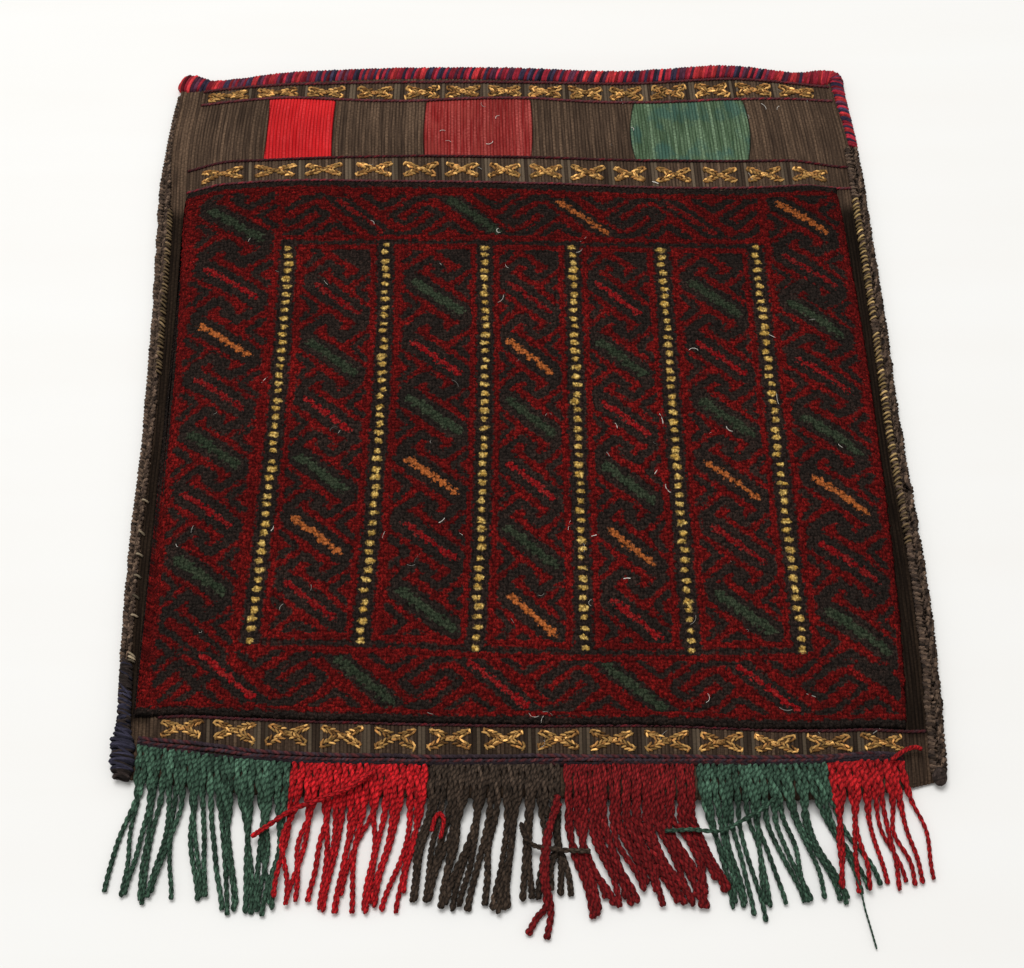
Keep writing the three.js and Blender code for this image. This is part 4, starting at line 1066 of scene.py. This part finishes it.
# Corner windings. Navy yarn is wound round the foot of the left plait, close over its end and loose above. At
# the right corner the plait's own ends are tied in a small dark knot.
WIND_RADIUS, WIND_PITCH, WIND_SLANT = 1.15 * MM, 1.3 * MM, 1.6 * MM
WIND_ASTRAY, WIND_STOPS = 1.5 * MM, 60
WIND_ABOVE, WIND_END = 26 * MM, -320 * MM
WIND_IN, WIND_HIGH = 0.6 * MM, 6 * MM
WIND_AT = np.array([0, 15, 30, 44, 52, 58, 63, 67, 73, 80, 87]) * MM
WIND_HALF_WIDE = np.array([4.4, 4.8, 5.0, 5.2, 6.0, 7.8, 8.6, 8.0, 8.8, 7.4, 5.0]) * MM
WIND_HALF_HIGH = np.array([3.6, 3.8, 3.9, 4.0, 4.2, 4.8, 5.2, 4.8, 5.4, 5.2, 3.8]) * MM
WIND_HAIR_AT, WIND_HAIR_SHARE = np.array([0, 30, 50, 58, 80, 87]) * MM, [0.8, 0.5, 0.35, 0.06, 0.1, 0.7]
KNOT_RINGS, KNOT_STOPS = 16, 18
KNOT_RADIUS, KNOT_MOVED = 1.2 * MM, np.array([-2.2, 9.5, 0.4]) * MM
KNOT_SHARE, KNOT_ROUND = (0.8, 1.1, 0.6), 0.94
KNOT_SKEW, KNOT_OFF = (0.3, 0.1, 0.2), 0.3
WIND_SPREAD, KNOT_SPREAD = 0.25, 0.35
WIND_NAVY, WIND_HAIR, KNOT_DARK = srgb(53, 51, 66), srgb(52, 43, 40), srgb(66, 55, 50)


def navy_over_hair(stations):
    """Dyes of the winding: dark hair shows between loose navy threads at its top, and lower down all is
    navy."""
    hair = draw.random((len(stations), 1)) < np.interp(stations, WIND_HAIR_AT, WIND_HAIR_SHARE)[:, None]
    return varied(np.where(hair, WIND_HAIR, WIND_NAVY), WIND_SPREAD, len(stations))


wind_y = np.linspace(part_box("corner_wrap_left")[1].y + WIND_ABOVE, WIND_END, WIND_STOPS)
wind_path = np.stack([flowing(wind_y, EDGE_Y, LEFT_X) + WIND_IN, wind_y, 0 * wind_y + WIND_HIGH], -1)
left_winding = wound("corner_winding_left", wind_path, lambda at: flowing(at, WIND_AT, WIND_HALF_WIDE),
                     lambda at: flowing(at, WIND_AT, WIND_HALF_HIGH), navy_over_hair,
                     yarn_coat("wrap_navy", fading=0.08), "wrap_navy", ["corner_wrap_left"],
                     WIND_PITCH, WIND_RADIUS, WIND_SLANT, WIND_ASTRAY)

knot_low, knot_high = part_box("corner_wrap_right")
knot_middle = np.array((knot_low + knot_high) / 2) + KNOT_MOVED
knot_half = np.array((knot_high - knot_low) / 2) * KNOT_SHARE - KNOT_RADIUS
knot_axis = unit(draw.normal(0, 1, (KNOT_RINGS, 3)))
knot_side = unit(np.cross(knot_axis, np.roll(knot_axis, 1, 1) + KNOT_SKEW))
knot_other = np.cross(knot_axis, knot_side)
round_knot = np.linspace(0, 2 * np.pi, KNOT_STOPS, endpoint=False)[None, :, None]
knot_rings = knot_side[:, None] * np.cos(round_knot) + knot_other[:, None] * np.sin(round_knot)
knot_off = knot_axis[:, None] * draw.uniform(-KNOT_OFF, KNOT_OFF, (KNOT_RINGS, 1, 1))
right_knot = yarns("corner_knot_right", knot_middle + (knot_rings * KNOT_ROUND + knot_off) * knot_half,
                   ROUND_SIX * KNOT_RADIUS, varied(KNOT_DARK, KNOT_SPREAD, KNOT_RINGS)[:, None, None],
                   yarn_coat("knot_wool", fading=0.08), "knot_dark", ["corner_wrap_right"],
                   across=knot_axis[:, None], joined=True)


# Fringe heading. Three twisted yarns that lie side by side with opposite twists, so that they look like a
# chain. They bind the fringe cords to the cloth just above the fold.
HEADING_Y, HEADING_TWIST = np.array([-306.0, -308.9, -311.8]) * MM, np.array([[-1], [1], [-1]])
HEADING_RADIUS, HEADING_PITCH = 1.5 * MM, 7.5 * MM
HEADING_STOPS, HEADING_LIFT = 500, 1.1 * MM
HEADING_LONGER, HEADING_WAVE = 2 * MM, 0.5 * MM
WAVE_SPREAD, TWIST_SPREAD = 0.25, 0.14
MAROON_STOPS, MAROON_BELOW, MAROON_ABOVE = 20, np.array([[[0.5]], [[0.6]], [[0.25]]]), 0.7
HEADING_SPREAD, SECOND_DULL, HEADING_PLUMP = 0.2, 0.85, 1.25
HEADING_MAROON, HEADING_PURPLE = srgb(90, 46, 48), srgb(60, 48, 54)

heading_low, heading_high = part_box("fringe_heading")
heading_x = np.linspace(heading_low.x - HEADING_LONGER, heading_high.x, HEADING_STOPS)
heading_x, heading_y = np.meshgrid(heading_x, HEADING_Y)
heading_s = share(heading_x, heading_y)
heading_wave = np.sin(np.cumsum(draw.normal(0, WAVE_SPREAD, heading_s.shape), 1))
heading_y = pulled(heading_s, heading_y) + HEADING_WAVE * heading_wave
heading_paths = np.stack([heading_x, heading_y, front_height(heading_s, heading_y) + HEADING_LIFT], -1)
on_top = draw.random((len(HEADING_Y), HEADING_STOPS // MAROON_STOPS)).repeat(MAROON_STOPS, 1)[..., None]
heading_dyes = [
    varied(np.where(maroon, HEADING_MAROON, HEADING_PURPLE) * dull, HEADING_SPREAD, *heading_s.shape)
    for maroon, dull in ((on_top < MAROON_BELOW, 1.0), (on_top > MAROON_ABOVE, SECOND_DULL))]
heading_turn = 2 * np.pi * length_along(heading_paths[0]) / HEADING_PITCH * HEADING_TWIST
heading_turn = heading_turn + np.cumsum(draw.normal(0, TWIST_SPREAD, heading_s.shape), 1)
heading = yarns("fringe_chain", heading_paths, TWO_PLY * (1.0, HEADING_PLUMP) * HEADING_RADIUS,
                plied(*heading_dyes), yarn_coat("heading_wool", fading=0.05), "heading_yarn",
                ["fringe_heading"], phase=heading_turn)


# Fringe. Six groups of cabled wool cords, in green, red, brown, madder, green and red. The cords come out
# under the heading side by side, fall over the fold and lie loose on the floor, where a few stray from their
# group.
CORD_LENGTH, CORD_PITCH, CORD_STOPS = 95 * MM, 11 * MM, 84
CORD_TWIST, STRAND = 4 * MM, 0.6
CORD_CROSSING, CORD_IN, CORD_LEAVES = 0.9, 0.5 * MM, 8 * MM
TIP_SHIFT, TIP_LOOSE = (2.2 * MM, 2.5 * MM), 0.2
CORD_BOW, CORD_LEAN, CORD_WAVE = 3 * MM, 0.7 * MM, 0.8 * MM
CORD_LAYER, CORD_PILED = 1.25, 0.9
STRANDS_APART, HELD_APART = 0.42, 0.27
HELD_WIDE, STRANDS_UP = 0.36, np.array([0, 0, 0.8])
STRAY_LIFT, STRAY_TIP, STRAY_FALL = 6 * MM, -410 * MM, 20 * MM
FOLD_KEPT, FOLD_LEFT = 4 * MM, 7 * MM
FOLD_DROP, FOLD_S = 24 * MM, 0.97
TONE_STOPS, STRAND_SHADES, LOOSE_SHADE = 12, (1.1, 0.85), 0.22
TIP_SWELL = (1.0, 1.1, 1.15, 1.05, 0.55)
CORD_SIZES, CORD_STEER, CORD_FREED = (0.92, 1.06), (0.15, 0.75), (-0.3, 0.2)
FREE_SOON, LEAN_SOON, CORD_WAVES, CORD_CLEAR = 3, 4, 3, 1.2
TWIST_SHARES, HELD_TWIST = (0.8, 1.25), 0.45
RED_OVER, OVER_BLUR = {"red_left": -141 * MM, "red_right": 238 * MM}, 10 * MM
HELD = {"madder": 0.28}
FRINGE_GREEN, FRINGE_RED, FRINGE_DULL_RED = srgb(68, 96, 78), srgb(200, 31, 37), srgb(184, 32, 36)
FRINGE_BROWN, FRINGE_MADDER = srgb(70, 57, 47), srgb(132, 29, 31)
FRINGE = [  # name, cords, from, to and radius in mm, dye and its spread, where ends lie, strays: size, way
    ("green_left", 23, -250, -149.5, 1.8, FRINGE_GREEN, 0.24,
     [(-263, -396), (-246, -399), (-239, -402), (-235, -401), (-232, -396), (-200, -400), (-203, -398),
      (-186, -408), (-182, -409), (-178, -409), (-172, -410), (-166, -411), (-164, -409), (-157, -411),
      (-154, -408)], []),
    ("red_left", 19, -144, -58, 1.95, FRINGE_RED, 0.10,
     [(-153, -401), (-145, -404), (-141, -403), (-130, -403), (-123, -409), (-122, -404), (-113, -410),
      (-110, -404), (-102, -411), (-97, -413), (-90, -404), (-88, -407), (-79, -411), (-70, -397)],
     [(1, [(-92, -321), (-104, -330), (-124, -337), (-146, -344), (-162, -355), (-170, -361)]),
      (0.8, [(-52.4, -357), (-50.8, -349), (-47.6, -345.5), (-44.8, -349), (-45.6, -356), (-46.8, -362)])]),
    ("brown", 22, -52.5, 30, 2.35, FRINGE_BROWN, 0.22,
     [(-64, -403), (-58, -405), (-53, -401), (-46, -408), (-42, -404), (-38, -409), (-32, -410), (-14, -404),
      (-9, -411), (-4, -409), (8, -402), (15, -402), (29, -397), (38, -399)],
     [(0.8, [(6, -352), (8, -360), (14, -367), (30, -370), (51, -371)])]),
    ("madder", 27, 35.5, 119, 2.45, FRINGE_MADDER, 0.12,
     [(52, -414), (56, -408), (67, -405), (73, -404), (84, -397), (92, -392), (97, -406), (112, -405),
      (117, -406), (121, -400), (124, -411), (131, -388), (140, -395)],
     [(1, [(30, -336), (26, -350), (23, -368), (22, -390), (25, -408), (22, -427)]),
      (1, [(31, -340), (25, -352), (21, -368), (20, -388), (22, -405), (16, -413), (10, -424)])]),
    ("green_right", 19, 124.5, 207, 1.8, FRINGE_GREEN, 0.24,
     [(142, -407), (147, -406), (150, -404), (159, -415), (163, -404), (167, -409), (188, -403), (192, -402),
      (201, -401), (211, -403), (216, -401), (226, -397), (238, -392)],
     [(0.9, [(172, -338), (165, -343), (153, -349), (136, -357), (118, -356), (100, -357)]),
      (0.4, [(219, -380), (224, -396), (228, -416), (231, -433)])]),
    ("red_right", 10, 212, 259.5, 1.7, FRINGE_DULL_RED, 0.10,
     [(213, -395), (214, -393), (231, -397), (242, -390), (251, -396), (258, -391), (264, -396), (273, -388)],
     [(1, [(252, -311), (258, -306), (264, -302), (270, -300), (274, -301)])])]


def over_fold(x, y, radius, layer):
    """Height of a cord: on the front as far as the fold, then down by a smooth step to its layer on the
    floor."""
    s = np.clip(share(x, y), -FOLD_S, FOLD_S)
    fold = pulled(s, FOLD_Y)
    top = front_height(s, np.maximum(y, fold + FOLD_KEPT)) + radius * STRAND
    return top + (layer - top) * eased((fold + FOLD_LEFT - y) / FOLD_DROP)


def fringe_group(name, count, low, high, radius, dye, spread, ends, strays):
    """Cords side by side: each follows the front straight from the heading to the fold, and from there a
    smooth step takes it to its own end, with a bow and a wave of its own on the way. Each is laid of two
    strands that lie close above the fold and turn about each other. Some cords cross their neighbours."""
    radius = radius * MM
    x = np.linspace(low, high, count)[:, None] * MM
    s = share(x, HEADING_Y[-1])
    start, leaves = pulled(s, HEADING_Y[-1]) - CORD_IN, pulled(s, FOLD_Y) + CORD_LEAVES
    order = np.linspace(0, len(ends) - 1, count)
    crossed = np.argsort(np.arange(count) + draw.normal(0, CORD_CROSSING, count))
    tip = np.stack([np.interp(order, np.arange(len(ends)), axis) for axis in np.array(ends).T], -1) * MM
    tip += draw.normal(0, TIP_SHIFT, (count, 2)) * (np.abs(order - np.round(order)) > TIP_LOOSE)[:, None]
    tip_x, tip_y = tip[crossed, :1], tip[crossed, 1:]
    t = np.linspace(0, 1, CORD_STOPS)
    y = start + (tip_y - start) * t
    out = np.clip((leaves - y) / (leaves - tip_y), 0, 1)
    held = HELD.get(name, 0.0)
    fan = np.clip((out - held) / (1 - held), 0, 1)
    steer = draw.uniform(*CORD_STEER, (count, 1))
    bow = draw.normal(0, CORD_BOW, (count, 1)) * np.sin(np.pi * fan) ** 2
    lean = draw.normal(0, CORD_LEAN, (count, 1)) * eased(t * LEAN_SOON) * (1 - out)
    wave = draw.normal(0, CORD_WAVE, (count, 1)) * np.sin(CORD_WAVES * np.pi * out) * np.sin(np.pi * out)
    x_there = x + (tip_x - x) * (steer * fan + (1 - steer) * eased(fan)) + bow + wave + lean
    layer = radius * (CORD_LAYER + CORD_PILED * draw.random((count, 1)) * np.clip(out * FREE_SOON, 0, 1))
    layer = layer + 2 * radius * eased((RED_OVER.get(name, -1.0) - x_there) / OVER_BLUR)
    paths = [np.stack([x_there, y, over_fold(x_there, y, radius, layer)], -1)]
    for _, stray in strays:
        stray_x, stray_y = (flowing(t * (len(stray) - 1), np.arange(len(stray)), axis * MM)
                            for axis in np.array(stray).T)
        lifted = STRAY_LIFT * eased((stray_y - STRAY_TIP) / STRAY_FALL)
        stray_z = over_fold(stray_x, stray_y, radius, radius * CORD_LAYER) + lifted
        paths.append(np.stack([stray_x, stray_y, stray_z], -1)[None])
    paths = np.concatenate(paths)
    sizes = np.concatenate([draw.uniform(*CORD_SIZES, count), [size for size, _ in strays]])[:, None]
    loosened = eased(out * FREE_SOON + draw.uniform(*CORD_FREED, (count, 1)))
    free = np.concatenate([loosened, np.ones((len(strays), CORD_STOPS))])
    turns = CORD_LENGTH / CORD_STOPS / CORD_PITCH * draw.uniform(*TWIST_SHARES, (len(paths), 1))
    turn = 2 * np.pi * turns * np.cumsum(HELD_TWIST + (1 - HELD_TWIST) * free, 1)
    turn = turn + draw.uniform(0, 2 * np.pi, (len(paths), 1))
    aside = unit(np.cross(np.gradient(paths, axis=1), (0, 0, 1)))
    apart = sizes * radius * STRANDS_APART * free + (1 - free) * (x[1] - x[0]) * HELD_APART
    width = sizes * (free + (1 - free) * (x[1] - x[0]) * HELD_WIDE / (radius * STRAND))
    least = STRANDS_UP[2] * apart + CORD_CLEAR * width * radius * STRAND
    paths[..., 2] = np.maximum(paths[..., 2], least)
    swing = (aside * np.cos(turn)[..., None] + STRANDS_UP * np.sin(turn)[..., None]) * apart[..., None]
    tone = varied(dye, spread, 2 * len(paths), CORD_STOPS // TONE_STOPS).repeat(TONE_STOPS, 1)[:, :, None]
    tone = tone * np.repeat(STRAND_SHADES, len(paths))[:, None, None, None]
    # Painted shade: the loose hanging part of each cord is darkened by about a fifth.
    tone = tone * (1 - LOOSE_SHADE * np.tile(free, (2, 1)))[..., None, None]
    width[:, -len(TIP_SWELL):] *= TIP_SWELL
    hue = name.split("_")[0]
    strands = np.concatenate([paths + swing, paths - swing])
    return yarns("cords_" + name, strands, ROUND_SIX * radius * STRAND, tone, fringe_coats[hue],
                 "fringe_" + hue, ["fringe_" + name], width=np.tile(width, (2, 1)))


fringe_coats = {hue: yarn_coat("fringe_" + hue, fading=0.08, depth=0.6 * MM, twist=CORD_TWIST)
                for hue in ("green", "red", "brown", "madder")}
cords = [fringe_group(*group) for group in FRINGE]


# Lint. Fine pale fibres and specks that an old bag picks up in use. They lie loose on the pile and on the
# flat-woven strips, and each is a short bent thread.
LINT_COUNT, LINT_STOPS, LINT_RADIUS = 90, 6, 0.22 * MM
LINT_X, LINT_Y, LINT_STEP = (-250 * MM, 260 * MM), (-300 * MM, 310 * MM), (0.5 * MM, 1.9 * MM)
LINT_BEND, LINT_SPREAD, LINT_UNEVEN = 0.7, 0.3, 0.45
LINT_ON_PILE, LINT_ON_CLOTH, PILE_EDGE = 0.3 * MM, 0.9 * MM, 10 * MM
LINT_PALE = srgb(196, 190, 180)

lint_x, lint_y = (draw.uniform(*reach, (LINT_COUNT, 1)) for reach in (LINT_X, LINT_Y))
lint_way = draw.uniform(0, 2 * np.pi, (LINT_COUNT, 1))
lint_way = lint_way + np.linspace(-1, 1, LINT_STOPS) * draw.normal(0, LINT_BEND, (LINT_COUNT, 1))
lint_step = draw.uniform(*LINT_STEP, (LINT_COUNT, 1))
lint_x = lint_x + np.cumsum(np.cos(lint_way) * lint_step, 1)
lint_y = lint_y + np.cumsum(np.sin(lint_way) * lint_step, 1)
on_pile = (lint_y > PILE_BOTTOM) & (lint_y < PILE_TOP - PILE_EDGE)
lint_up = np.where(on_pile, PILE_HEIGHT + LINT_ON_PILE, LINT_ON_CLOTH)
lint_z = front_height(share(lint_x, lint_y), lint_y) + lint_up
lint = yarns("lint", np.stack([lint_x, lint_y, lint_z], -1), ROUND_SIX[::2] * LINT_RADIUS,
             varied(LINT_PALE, LINT_SPREAD, LINT_COUNT)[:, None, None],
             yarn_coat("lint_fibre", fading=0.0, depth=0.1 * MM), "cloth_wool",
             width=np.exp(draw.normal(0, LINT_UNEVEN, (LINT_COUNT, 1))))
